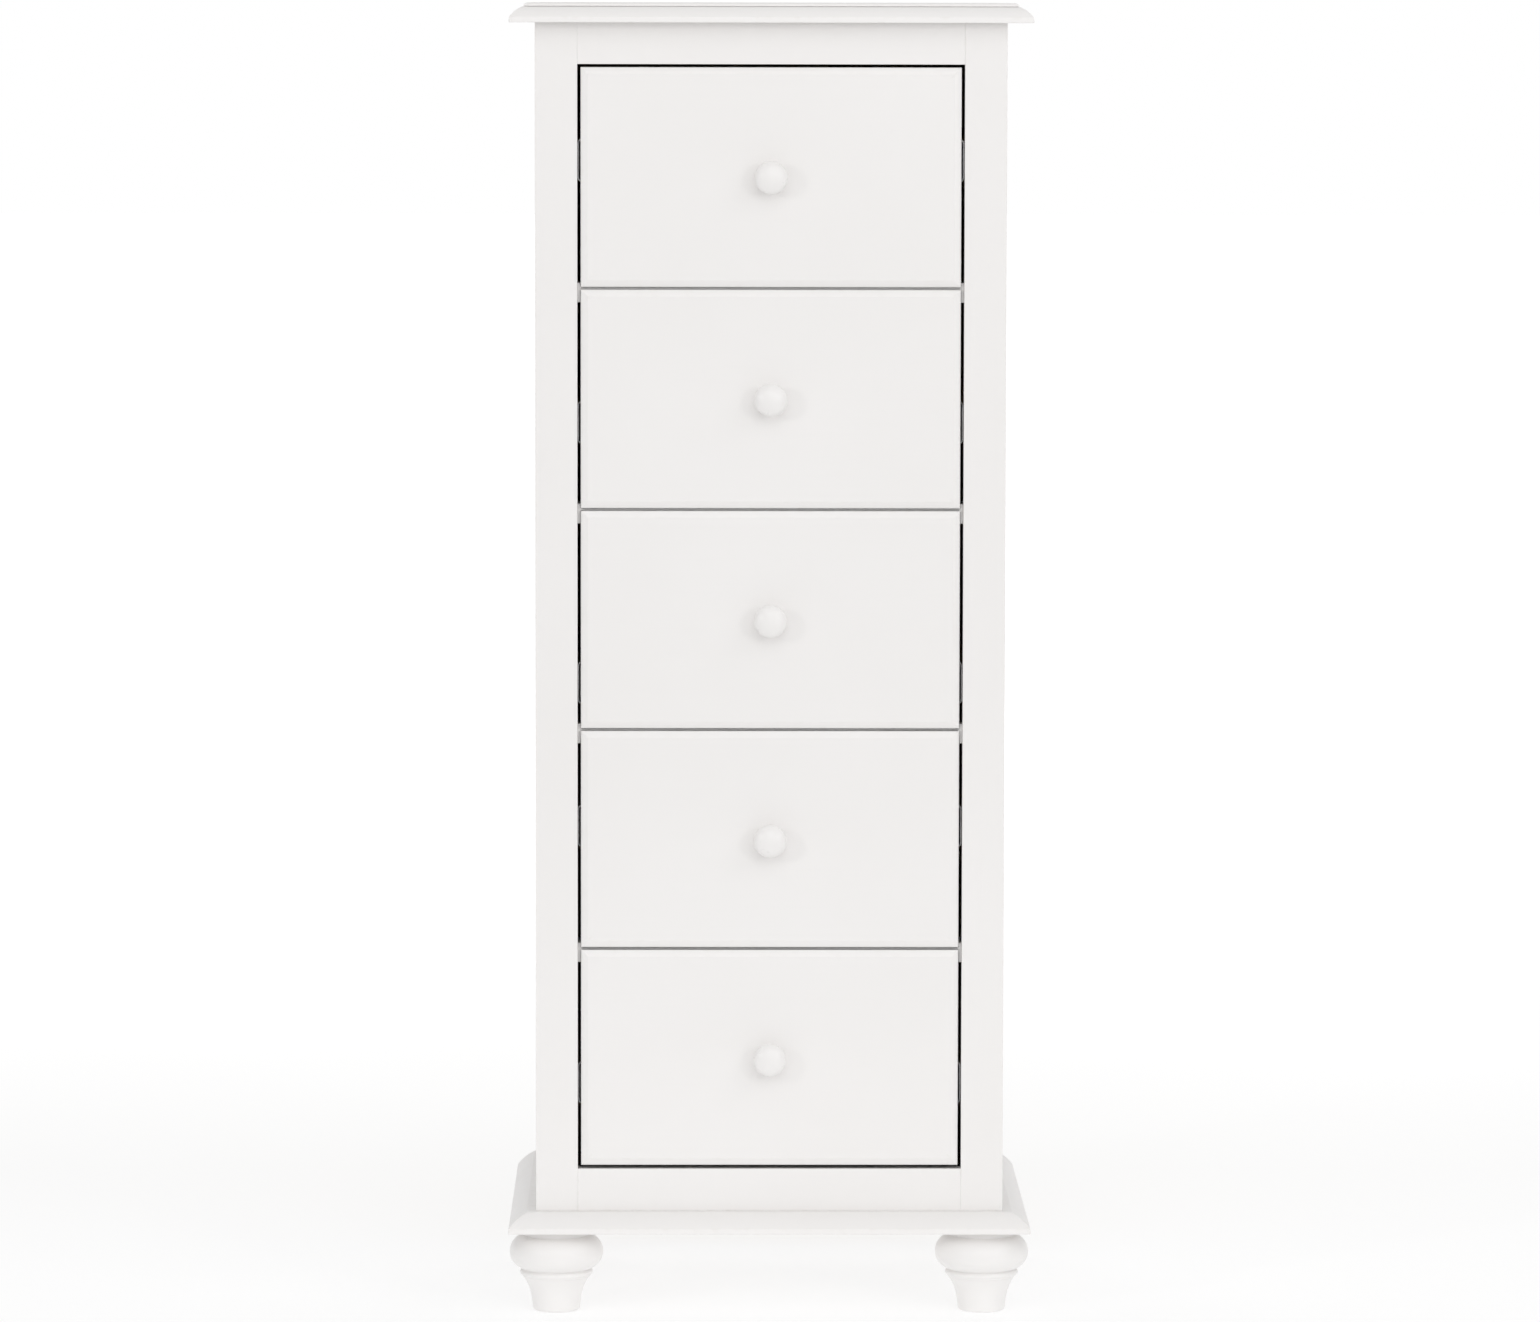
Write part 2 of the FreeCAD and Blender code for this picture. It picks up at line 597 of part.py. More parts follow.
# Each runner has three channels, one inside the next: the cabinet member opens towards the drawer,
# the middle member rides in it on balls, and the drawer member opens the other way and rides in that.
RUNNER_HALF = RUNNER_HEIGHT / 2
MIDDLE_HALF = RUNNER_HALF - RUNNER_STEEL - RUNNER_BALL
DRAWER_HALF = MIDDLE_HALF - RUNNER_STEEL - RUNNER_BALL
CABINET_CHANNEL = (0.0, RUNNER_THICKNESS - CABINET_LIP_CLEARANCE, RUNNER_HALF)
MIDDLE_CHANNEL = (MIDDLE_WEB_OFFSET, RUNNER_THICKNESS - MIDDLE_LIP_CLEARANCE, MIDDLE_HALF)
DRAWER_CHANNEL = (RUNNER_THICKNESS, DRAWER_LIP_OFFSET, DRAWER_HALF)


def channel(side, web_offset, lip_offset, half_height, middle):
    """Steel channel with its web at one offset from the batten and its lips at the other."""
    towards_lip = 1 if lip_offset > web_offset else -1
    inner_offset = web_offset + towards_lip * RUNNER_STEEL
    y_span = (RUNNER_START_Y, RUNNER_END_Y)
    outside = mirrored_block(side, OPENING_HALF - web_offset, OPENING_HALF - lip_offset, y_span,
                             (middle - half_height, middle + half_height))
    inner_half = half_height - RUNNER_STEEL
    inside = mirrored_block(side, OPENING_HALF - inner_offset, OPENING_HALF - lip_offset, y_span,
                            (middle - inner_half, middle + inner_half))
    return outside.cut(inside)


def runner_pair(index, channel_shape):
    """The same member of one drawer's left and right runners."""
    return [channel(sign, *channel_shape, runner_height(index)) for sign in SIDES.values()]


# ---------------------------------------------------------------- build

def build():
    """Write every node."""
    os.makedirs("parts", exist_ok=True)
    save("top_panel", moulded_board(TOP_OVERHANG, CARCASS_TOP, TOP_OVOLO_WIDTH, BEAD_WIDTH, BEAD_HEIGHT))
    save("base_board", base_board())
    for name, (bottom, height) in RAILS.items():
        save(name, face_rail(bottom, height))
    for side, sign in SIDES.items():
        save(side + "_stile", stile(sign))
        save(side + "_side_panel", side_panel(sign))
        save(side + "_runner_battens", runner_battens(sign))
    save("back_panel", back_panel())
    save("back_panel_screws", back_screws())
    save("divider_rails", divider_rails())
    save("corner_blocks", corner_blocks())
    for name, x, y in foot_centres():
        save(name + "_foot", foot(x, y))
    save("foot_bolts", foot_bolts())

    cabinet_members = []
    for index in range(DRAWER_COUNT):
        drawer = "drawer_" + str(index + 1)
        save(drawer + "_front", drawer_front(index))
        for side, sign in SIDES.items():
            save(drawer + "_" + side + "_side", drawer_side(index, sign))
        save(drawer + "_back", drawer_back(index))
        save(drawer + "_bottom", drawer_bottom(index))
        save(drawer + "_knob", knob(index))
        save(drawer + "_drawer_members", Part.makeCompound(runner_pair(index, DRAWER_CHANNEL)))
        save(drawer + "_middle_members", Part.makeCompound(runner_pair(index, MIDDLE_CHANNEL)))
        cabinet_members += runner_pair(index, CABINET_CHANNEL)
    save("runner_cabinet_members", Part.makeCompound(cabinet_members))


build()
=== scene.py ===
"""Looks of a tall chest of five drawers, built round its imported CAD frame.

Lengths are in metres. +X is to the right, +Y to the back and +Z up. Each piece takes its place from
the box of the CAD node that it stands for, and only its finer shape is worked out here.
"""

import logging
import math
from dataclasses import dataclass, field
from enum import Enum

import bmesh
import bpy
import numpy as np
from mathutils import Matrix, Vector


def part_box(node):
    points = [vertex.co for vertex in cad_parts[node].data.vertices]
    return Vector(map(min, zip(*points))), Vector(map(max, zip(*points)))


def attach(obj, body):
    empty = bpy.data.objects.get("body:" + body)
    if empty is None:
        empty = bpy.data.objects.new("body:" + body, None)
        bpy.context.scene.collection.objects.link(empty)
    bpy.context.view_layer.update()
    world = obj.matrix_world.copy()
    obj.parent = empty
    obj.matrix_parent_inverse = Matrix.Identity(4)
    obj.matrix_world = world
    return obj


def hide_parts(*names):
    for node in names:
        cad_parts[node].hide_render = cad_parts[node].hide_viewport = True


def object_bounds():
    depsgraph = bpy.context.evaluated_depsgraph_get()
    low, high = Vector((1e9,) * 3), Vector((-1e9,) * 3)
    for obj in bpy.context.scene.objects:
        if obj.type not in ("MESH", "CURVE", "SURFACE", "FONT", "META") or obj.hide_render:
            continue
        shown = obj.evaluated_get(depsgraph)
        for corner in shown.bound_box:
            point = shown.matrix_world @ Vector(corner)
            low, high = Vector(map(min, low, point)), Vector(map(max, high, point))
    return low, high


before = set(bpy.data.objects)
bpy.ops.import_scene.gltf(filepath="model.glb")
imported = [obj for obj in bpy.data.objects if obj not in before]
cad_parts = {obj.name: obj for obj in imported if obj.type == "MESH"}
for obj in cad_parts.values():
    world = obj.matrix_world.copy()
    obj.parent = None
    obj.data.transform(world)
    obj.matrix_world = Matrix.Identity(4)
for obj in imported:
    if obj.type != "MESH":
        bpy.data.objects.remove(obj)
CAD_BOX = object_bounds()

LOG = logging.getLogger("chest")
MM = 0.001
DRAWER_NAMES = ["drawer_" + str(number) for number in range(1, 6)]

ARRIS = "arris"           # mesh attribute: closeness to an arris, from 0 to 1
SUPPORT = 2 * MM          # from an eased arris to the next ring on the plain part beside it
QUARTER_STEPS = 7         # points on a quarter-round easing
DOUBLES = 0.002 * MM      # points nearer than this are one point
CREASE = 17.0             # angle in degrees past which an edge stays sharp, on boards
FRONT_CREASE = 14.0       # on the bevelled fronts
TURNED_CREASE = 24.0      # on turned pieces
ROLLED_CREASE = 30.0      # on rolled steel
SCREW_CREASE = 35.0       # on screw heads
BAND_LENGTH = 0.314       # length of one band of a wave texture at a scale of 1

Pair = tuple[float, float]
Triple = tuple[float, float, float]
Colour = tuple[float, float, float, float]
Socket = bpy.types.NodeSocket


class Axis(Enum):
    """Direction along which a board is carried or its grain runs."""

    ACROSS = 0
    DEEP = 1
    UPRIGHT = 2


# ---------------------------------------------------------------- surfaces


@dataclass
class Shell:
    """Closed skin gathered from grids of points before it becomes a mesh.

    Attributes:
        points: Blocks of points gathered so far.
        arris: How near each point is to an arris, from 0 to 1.
        faces: Corner numbers of each face.
        count: Number of points gathered so far.
    """

    points: list[np.ndarray] = field(default_factory=list)
    arris: list[np.ndarray] = field(default_factory=list)
    faces: list[list[int]] = field(default_factory=list)
    count: int = 0

    def add_grid(self, points: np.ndarray, arris: np.ndarray | None = None) -> np.ndarray:
        """Adds a grid of points, its last column joined to its first, with a quad between neighbours.

        Args:
            points: Rows by columns by 3. The skin faces the cross product of columns and rows.
            arris: Rows by columns of closeness to an arris, or None for 0.

        Returns:
            The number of each point, rows by columns.
        """
        rows, columns = points.shape[:2]
        index = np.arange(rows * columns).reshape(rows, columns) + self.count
        following = np.roll(index, -1, axis=1)
        quads = np.stack([index[:-1], following[:-1], following[1:], index[1:]], axis=-1).reshape(-1, 4)
        self.points.append(points.reshape(-1, 3))
        self.arris.append(np.zeros(rows * columns) if arris is None else arris.reshape(-1))
        self.faces += quads.tolist()
        self.count += rows * columns
        return index

    def add_caps(self, index: np.ndarray) -> None:
        """Closes the first and last row of a grid with one flat face each.

        Args:
            index: Point numbers that add_grid gave.
        """
        self.faces.append(index[0][::-1].tolist())
        self.faces.append(index[-1].tolist())

    def to_object(self, name: str, crease: float = CREASE) -> bpy.types.Object:
        """Makes the mesh object, with its doubles merged and its flats shaded flat.

        Args:
            name: Name of the piece.
            crease: Angle in degrees past which an edge stays sharp.

        Returns:
            The new object, at the origin.
        """
        mesh = bpy.data.meshes.new(name)
        mesh.from_pydata(np.concatenate(self.points).tolist(), [], self.faces)
        closeness = mesh.attributes.new(ARRIS, "FLOAT", "POINT")
        closeness.data.foreach_set("value", np.concatenate(self.arris).astype(np.float32))
        work = bmesh.new()
        work.from_mesh(mesh)
        bmesh.ops.remove_doubles(work, verts=work.verts, dist=DOUBLES)
        work.to_mesh(mesh)
        work.free()
        mesh.shade_smooth()
        mesh.set_sharp_from_angle(angle=math.radians(crease))
        piece = bpy.data.objects.new(name, mesh)
        bpy.context.scene.collection.objects.link(piece)
        weighting = piece.modifiers.new("flat_shading", "WEIGHTED_NORMAL")
        weighting.keep_sharp = True
        return piece


@dataclass(frozen=True)
class Station:
    """One ring of a profile that is carried round an outline.

    Attributes:
        along: Place on the axis that the outline faces.
        inset: How far in from the outline.
        rounding: Radius of the ring's corners.
        arris: Closeness to an arris, from 0 to 1.
    """

    along: float
    inset: float
    rounding: float
    arris: float = 0.0


@dataclass(frozen=True)
class Outline:
    """Closed outline with square corners, walked anticlockwise.

    Attributes:
        corners: Corner points, one row each.
        cut: For the edge that leaves each corner, 1 where the profile moves it in, and 0 where it
            doesn't.
    """

    corners: tuple[Pair, ...]
    cut: tuple[float, ...] = ()

    @staticmethod
    def rectangle(low: Pair, high: Pair, cut: tuple[float, ...] = ()) -> "Outline":
        """Outline of a rectangle.

        Args:
            low: Lowest corner.
            high: Highest corner.
            cut: As in the class.

        Returns:
            The outline, from the lowest corner.
        """
        (left, bottom), (right, top) = low, high
        return Outline(((left, bottom), (right, bottom), (right, top), (left, top)), cut)

    def ring(self, station: Station) -> tuple[np.ndarray, np.ndarray]:
        """Points of the outline at one station.

        Each edge moves in by the inset. At a convex corner the point is
        centre + radius * (n1 cos t + n2 sin t) for t from 0 to a quarter turn, with n1 and n2 the
        outward normals of its two edges.

        Args:
            station: Where the ring is.

        Returns:
            The points, and how near each one is to a rounded corner.
        """
        corners = np.array(self.corners, float)
        cut = np.array(self.cut or (1.0,) * len(corners))
        leaving = np.roll(corners, -1, axis=0) - corners
        length = np.linalg.norm(leaving, axis=1)
        leaving = leaving / length[:, None]
        arriving = np.roll(leaving, 1, axis=0)
        out = np.stack([leaving[:, 1], -leaving[:, 0]], axis=1)
        out_before = np.roll(out, 1, axis=0)
        convex = (arriving[:, 0] * leaving[:, 1] - arriving[:, 1] * leaving[:, 0]) > 0
        moved = corners - station.inset * (cut[:, None] * out + np.roll(cut, 1)[:, None] * out_before)
        radius = np.where(convex, station.rounding, 0.0)[:, None]
        centre = moved - radius * (out + out_before)
        turn = np.linspace(0, math.pi / 2, QUARTER_STEPS)[None, :, None]
        arc = out_before[:, None] * np.cos(turn) + out[:, None] * np.sin(turn)
        arc = centre[:, None] + radius[:, None] * arc
        shortest = np.minimum(length, np.roll(length, 1))[:, None]
        back = np.minimum(SUPPORT, 0.2 * shortest)
        before = (arc[:, 0] - back * arriving)[:, None]
        after = (arc[:, -1] + back * leaving)[:, None]
        near = np.zeros((len(corners), QUARTER_STEPS + 2))
        near[:, 1:-1] = 1.0
        return np.concatenate([before, arc, after], axis=1).reshape(-1, 2), near.reshape(-1)


def laid(axis: Axis, flat: np.ndarray, along: np.ndarray | float) -> np.ndarray:
    """Points in space from points on a cross-section and their place along an axis.

    Args:
        axis: Axis that the cross-section faces.
        flat: Points on the cross-section, on the two axes that follow in the order X, Y, Z, X.
        along: Place on the axis.

    Returns:
        The points, with 3 as the last dimension.
    """
    points = np.empty(flat.shape[:-1] + (3,))
    points[..., (axis.value + 1) % 3] = flat[..., 0]
    points[..., (axis.value + 2) % 3] = flat[..., 1]
    points[..., axis.value] = along
    return points


def carry(shell: Shell, axis: Axis, outline: Outline, stations: list[Station]) -> None:
    """Adds the skin that a list of stations makes round an outline, closed by flat ends.

    Args:
        shell: Skin to add to.
        axis: Axis that the outline faces.
        outline: Outline to follow.
        stations: Rings, from low to high along the axis.
    """
    rings = [outline.ring(station) for station in stations]
    points = [laid(axis, flat, station.along) for (flat, _), station in zip(rings, stations)]
    arris = [np.maximum(near, station.arris) for (_, near), station in zip(rings, stations)]
    shell.add_caps(shell.add_grid(np.stack(points), np.stack(arris)))


def eased_end(place: float, direction: int, easing: float, corner: float) -> list[Station]:
    """Stations of a quarter-round easing at one end of a board, from the end inwards.

    Args:
        place: Where the end is.
        direction: 1 where the board lies above the end and -1 where it lies below.
        easing: Radius of the easing.
        corner: Radius of the board's long corners.

    Returns:
        The stations, from the flat of the end to the plain side.
    """
    stations = [Station(place, easing + SUPPORT, 0.0)]
    for turn in np.linspace(math.pi / 2, 0, QUARTER_STEPS):
        inset = easing * (1 - math.cos(turn))
        along = place + direction * easing * (1 - math.sin(turn))
        stations.append(Station(along, inset, max(corner - inset, 0.0), 1.0))
    stations.append(Station(place + direction * (easing + SUPPORT), 0.0, corner))
    return stations


def board(shell: Shell, low: tuple[float, ...], high: tuple[float, ...], axis: Axis, easing: float) -> None:
    """Adds a plain board with all its arrises eased.

    Args:
        shell: Skin to add to.
        low: Lowest corner.
        high: Highest corner.
        axis: Direction of its length.
        easing: Radius of the arrises.
    """
    first, second = (axis.value + 1) % 3, (axis.value + 2) % 3
    outline = Outline.rectangle((low[first], low[second]), (high[first], high[second]))
    notched(shell, outline, (low[axis.value], high[axis.value]), axis, easing)


def notched(shell: Shell, outline: Outline, span: Pair, axis: Axis, easing: float) -> None:
    """Adds a board of any square-cornered cross-section with its arrises eased.

    Args:
        shell: Skin to add to.
        outline: Cross-section.
        span: Where its length starts and ends.
        axis: Direction of its length.
        easing: Radius of the arrises.
    """
    start = eased_end(span[0], 1, easing, easing)
    end = eased_end(span[1], -1, easing, easing)
    carry(shell, axis, outline, start + end[::-1])


def turned(shell: Shell, profile: np.ndarray, foot: Triple, axis: Axis, sign: int = 1,
           steps: int = 96) -> None:
    """Adds a turned skin: the point at angle t is foot + radius * (cos t, sin t), height along.

    Args:
        shell: Skin to add to.
        profile: Radius and height of each point of the outline, one row each, from low to high.
        foot: Where the turning's axis starts.
        axis: Direction of the axis.
        sign: 1 where height goes up the axis and -1 where it goes down.
        steps: Number of points round.
    """
    turn = np.linspace(0, 2 * math.pi, steps, endpoint=False) * sign
    radius, height = profile[:, 0, None], profile[:, 1, None]
    flat = np.stack([radius * np.cos(turn), radius * np.sin(turn)], axis=-1)
    points = laid(axis, flat, sign * height + np.zeros_like(turn)) + np.array(foot)
    shell.add_grid(points)


def arc(centre: Pair, radius: Pair, start: float, end: float, steps: int) -> np.ndarray:
    """Points of an ellipse's arc: centre + (rx cos t, ry sin t).

    Args:
        centre: Centre of the ellipse.
        radius: Its two half axes.
        start: First angle in degrees.
        end: Last angle in degrees.
        steps: Number of points.

    Returns:
        The points, one row each.
    """
    turn = np.radians(np.linspace(start, end, steps))
    return np.stack([centre[0] + radius[0] * np.cos(turn), centre[1] + radius[1] * np.sin(turn)], axis=1)


def bezier(a: Pair, b: Pair, c: Pair, d: Pair,
           steps: int) -> np.ndarray:
    """Points of a cubic curve with the given four control points.

    Args:
        a: Start.
        b: First handle.
        c: Second handle.
        d: End.
        steps: Number of points.

    Returns:
        The points, one row each.
    """
    t = np.linspace(0, 1, steps)[:, None]
    a, b, c, d = (np.array(point) for point in (a, b, c, d))
    return a * (1 - t) ** 3 + 3 * b * t * (1 - t) ** 2 + 3 * c * t ** 2 * (1 - t) + d * t ** 3


# ---------------------------------------------------------------- finishes


class Nodes:
    """Node tree of a material or of the surroundings, with its texture coordinates."""

    def __init__(self, tree: bpy.types.NodeTree) -> None:
        """Adds the coordinates to a tree."""
        self.tree = tree
        self.place = tree.nodes.new("ShaderNodeTexCoord")

    def put(self, value: object, socket: Socket) -> None:
        """Sets a socket to a number or colour, or links another socket to it.

        Args:
            value: Number, colour or socket.
            socket: Socket to set or link to.
        """
        if isinstance(value, Socket):
            self.tree.links.new(value, socket)
        else:
            socket.default_value = value

    def parts(self, vector: Socket) -> bpy.types.NodeOutputs:
        """Splits a vector.

        Args:
            vector: Socket to read.

        Returns:
            Its X, Y and Z parts.
        """
        split = self.tree.nodes.new("ShaderNodeSeparateXYZ")
        self.put(vector, split.inputs["Vector"])
        return split.outputs

    def reckon(self, operation: str, first: object, second: object) -> Socket:
        """Result of one sum.

        Args:
            operation: Name of the operation.
            first: Number or socket.
            second: Number or socket.

        Returns:
            The result.
        """
        node = self.tree.nodes.new("ShaderNodeMath")
        node.operation = operation
        self.put(first, node.inputs[0])
        self.put(second, node.inputs[1])
        return node.outputs[0]

    def spread(self, value: Socket, start: float, end: float, low: float, high: float) -> Socket:
        """Value moved from the span start to end onto the span low to high, and kept inside it.

        Args:
            value: Socket to read.
            start: First value read.
            end: Last value read.
            low: What start becomes.
            high: What end becomes.

        Returns:
            The moved value.
        """
        node = self.tree.nodes.new("ShaderNodeMapRange")
        for name, number in (("From Min", start), ("From Max", end), ("To Min", low), ("To Max", high)):
            node.inputs[name].default_value = number
        self.put(value, node.inputs["Value"])
        return node.outputs["Result"]


class Graph(Nodes):
    """Node tree of one material, with a shader already joined to its output."""

    def __init__(self, name: str) -> None:
        """Starts an empty material.

        Args:
            name: Name of the material.
        """
        self.material = bpy.data.materials.new(name)
        self.material.use_nodes = True
        self.material.node_tree.nodes.clear()
        super().__init__(self.material.node_tree)
        output = self.tree.nodes.new("ShaderNodeOutputMaterial")
        self.shader = self.tree.nodes.new("ShaderNodeBsdfPrincipled")
        self.tree.links.new(self.shader.outputs["BSDF"], output.inputs["Surface"])

    def coordinates(self) -> Socket:
        """Object coordinates."""
        return self.place.outputs["Object"]

    def stretched(self, axis: Axis, across: float, along: float) -> Socket:
        """Object coordinates scaled so that a pattern runs along one axis.

        Args:
            axis: Direction in which the pattern is drawn out.
            across: Scale on the other two axes.
            along: Scale on that axis.

        Returns:
            The scaled coordinates.
        """
        mapping = self.tree.nodes.new("ShaderNodeMapping")
        self.put(self.coordinates(), mapping.inputs["Vector"])
        mapping.inputs["Scale"].default_value = [along if i == axis.value else across for i in range(3)]
        return mapping.outputs["Vector"]

    def noise(self, vector: Socket, scale: float, detail: float = 2.0, wander: float = 0.0) -> Socket:
        """Soft noise from 0 to 1.

        Args:
            vector: Coordinates.
            scale: Number of features to a unit.
            detail: Octaves.
            wander: How far the pattern is pushed about.

        Returns:
            The noise.
        """
        node = self.tree.nodes.new("ShaderNodeTexNoise")
        self.put(vector, node.inputs["Vector"])
        node.inputs["Scale"].default_value = scale
        node.inputs["Detail"].default_value = detail
        node.inputs["Distortion"].default_value = wander
        return node.outputs["Fac"]

    def bands(self, vector: Socket, direction: Axis, scale: float, wander: float) -> Socket:
        """Parallel bands from 0 to 1, square to one axis.

        Args:
            vector: Coordinates.
            direction: Axis that the bands follow one another on.
            scale: Each band is BAND_LENGTH / scale long.
            wander: How far they wander.

        Returns:
            The bands.
        """
        node = self.tree.nodes.new("ShaderNodeTexWave")
        node.wave_type = "BANDS"
        node.bands_direction = "XYZ"[direction.value]
        node.wave_profile = "SAW"
        self.put(vector, node.inputs["Vector"])
        node.inputs["Scale"].default_value = scale
        node.inputs["Distortion"].default_value = wander
        node.inputs["Detail"].default_value = 2.0
        node.inputs["Detail Scale"].default_value = 0.6
        return node.outputs["Fac"]

    def near_arris(self) -> Socket:
        """Reads how near each point of the mesh is to an arris.

        Returns:
            The closeness, from 0 to 1.
        """
        node = self.tree.nodes.new("ShaderNodeAttribute")
        node.attribute_name = ARRIS
        return node.outputs["Fac"]

    def facing(self, axis: Axis) -> Socket:
        """How far the surface faces along an axis, from 0 to 1."""
        return self.reckon("ABSOLUTE", self.parts(self.place.outputs["Normal"])[axis.value], 0.0)

    def blend(self, share: object, first: object, second: object) -> Socket:
        """Colour between two others.

        Args:
            share: 0 for the first and 1 for the second.
            first: Colour or socket.
            second: Colour or socket.

        Returns:
            The colour.
        """
        node = self.tree.nodes.new("ShaderNodeMix")
        node.data_type = "RGBA"
        self.put(share, node.inputs[0])
        self.put(first, node.inputs[6])
        self.put(second, node.inputs[7])
        return node.outputs[2]

    def relief(self, height: Socket, depth: float, under: object = None) -> Socket:
        """Bumped normal.

        Args:
            height: Height from 0 to 1.
            depth: What a height of 1 stands for, in metres.
            under: Another bumped normal to add to, or None.

        Returns:
            The normal.
        """
        node = self.tree.nodes.new("ShaderNodeBump")
        node.inputs["Strength"].default_value = 1.0
        node.inputs["Distance"].default_value = depth
        self.put(height, node.inputs["Height"])
        if under is not None:
            self.put(under, node.inputs["Normal"])
        return node.outputs["Normal"]

    def finish(self, colour: object, roughness: object, normal: object) -> bpy.types.Material:
        """Joins the last sockets to the shader.

        Args:
            colour: Base colour.
            roughness: Roughness.
            normal: Bumped normal.

        Returns:
            The material.
        """
        self.put(colour, self.shader.inputs["Base Color"])
        self.put(roughness, self.shader.inputs["Roughness"])
        self.put(normal, self.shader.inputs["Normal"])
        return self.material


@dataclass(frozen=True)
class SatinPaint:
    """Sprayed satin lacquer over close-grained wood, a little burnished on the arrises.

    Attributes:
        name: Name of the material.
        slot: Name of a material slot. Not used.
        grain: Direction of the wood's grain under the paint.
        colour: Main colour.
        shade: Colour where the coat is thinner.
        worn: Colour of rubbed arrises.
        gloss: Lowest and highest roughness.
        fibre_depth: Depth of the grain that shows through.
        peel_depth: Depth of the spray's orange peel.
        clouds: Features to a metre of the coat's broad and fine unevenness.
        fibres: Features to a metre across and along the grain.
        peels: Features of orange peel to a metre.
        rubs: Rubbed patches to a metre.
    """

    name: str
    slot: str
    grain: Axis
    colour: Colour = (0.880, 0.864, 0.853, 1.0)
    shade: Colour = (0.864, 0.847, 0.834, 1.0)
    worn: Colour = (0.825, 0.803, 0.777, 1.0)
    gloss: Pair = (0.34, 0.44)
    fibre_depth: float = 0.040 * MM
    peel_depth: float = 0.022 * MM
    clouds: Pair = (3.1, 38.0)
    fibres: Pair = (260.0, 9.0)
    peels: float = 720.0
    rubs: float = 95.0

    def material(self) -> bpy.types.Material:
        """Builds the material.

        Returns:
            The material, with its nodes.
        """
        graph = Graph(self.name)
        broad = graph.noise(graph.coordinates(), self.clouds[0], 3.0)
        cloud = graph.noise(graph.coordinates(), self.clouds[1], 2.0)
        fibre = graph.noise(graph.stretched(self.grain, *self.fibres), 1.0, 3.0, 0.4)
        peel = graph.noise(graph.coordinates(), self.peels, 1.5)
        patches = graph.spread(graph.noise(graph.coordinates(), self.rubs, 3.0), 0.48, 0.66, 0.0, 1.0)
        rub = graph.reckon("MULTIPLY", graph.near_arris(), patches)
        tone = graph.blend(graph.spread(broad, 0.35, 0.65, 0.0, 1.0), self.colour, self.shade)
        tone = graph.blend(graph.spread(fibre, 0.55, 0.8, 0.0, 0.35), tone, self.shade)
        tone = graph.blend(graph.reckon("MULTIPLY", rub, 0.5), tone, self.worn)
        uneven = graph.reckon("ADD", cloud, graph.reckon("MULTIPLY", fibre, 0.5))
        sheen = graph.spread(uneven, 0.5, 1.0, *self.gloss)
        sheen = graph.reckon("SUBTRACT", sheen, graph.reckon("MULTIPLY", graph.near_arris(), 0.05))
        normal = graph.relief(fibre, self.fibre_depth)
        normal = graph.relief(peel, self.peel_depth, normal)
        return graph.finish(tone, sheen, normal)


@dataclass(frozen=True)
class ClearWood:
    """Planed wood, bare or under a thin clear coat.

    Attributes:
        name: Name of the material.
        slot: Name of a material slot. Not used.
        grain: Direction of the grain.
        rings: Axis on which the growth rings follow one another.
        pale: Colour of the early wood.
        dark: Colour of the late wood.
        fleck: Colour of the pores.
        figure: Features of the figure to a metre across the grain.
        gloss: Lowest and highest roughness.
        fibres: Features to a metre across and along the grain.
        pores: Pores to a metre across and along the grain.
        clouds: Darker clouds to a metre across and along the grain.
    """

    name: str
    slot: str
    grain: Axis
    rings: Axis
    pale: Colour = (0.640, 0.475, 0.300, 1.0)
    dark: Colour = (0.470, 0.310, 0.165, 1.0)
    fleck: Colour = (0.300, 0.185, 0.095, 1.0)
    figure: float = 26.0
    gloss: Pair = (0.42, 0.60)
    fibres: Pair = (620.0, 14.0)
    pores: Pair = (1500.0, 45.0)
    clouds: Pair = (14.0, 2.5)

    def material(self) -> bpy.types.Material:
        """Builds the material.

        Returns:
            The material, with its nodes.
        """
        graph = Graph(self.name)
        figure = graph.noise(graph.stretched(self.grain, self.figure, 0.9), 1.0, 3.0, 2.2)
        rings = graph.bands(graph.stretched(self.grain, 1.0, 0.16), self.rings, self.figure * 0.7, 11.0)
        fibre = graph.noise(graph.stretched(self.grain, *self.fibres), 1.0, 3.0)
        pores = graph.noise(graph.stretched(self.grain, *self.pores), 1.0, 1.0)
        cloud = graph.noise(graph.stretched(self.grain, *self.clouds), 1.0, 3.0)
        tone = graph.blend(graph.spread(figure, 0.32, 0.68, 0.0, 0.7), self.pale, self.dark)
        tone = graph.blend(graph.spread(rings, 0.3, 1.0, 0.0, 0.22), tone, self.dark)
        tone = graph.blend(graph.spread(cloud, 0.35, 0.75, 0.0, 0.4), tone, self.dark)
        tone = graph.blend(graph.spread(fibre, 0.5, 0.8, 0.0, 0.35), tone, self.dark)
        tone = graph.blend(graph.spread(pores, 0.66, 0.74, 0.0, 0.5), tone, self.fleck)
        tone = graph.blend(graph.reckon("MULTIPLY", graph.near_arris(), 0.15), tone, self.dark)
        sheen = graph.spread(graph.reckon("ADD", fibre, cloud), 0.6, 1.4, *self.gloss)
        normal = graph.relief(fibre, 0.07 * MM)
        normal = graph.relief(graph.spread(pores, 0.62, 0.74, 1.0, 0.0), 0.04 * MM, normal)
        return graph.finish(tone, sheen, normal)


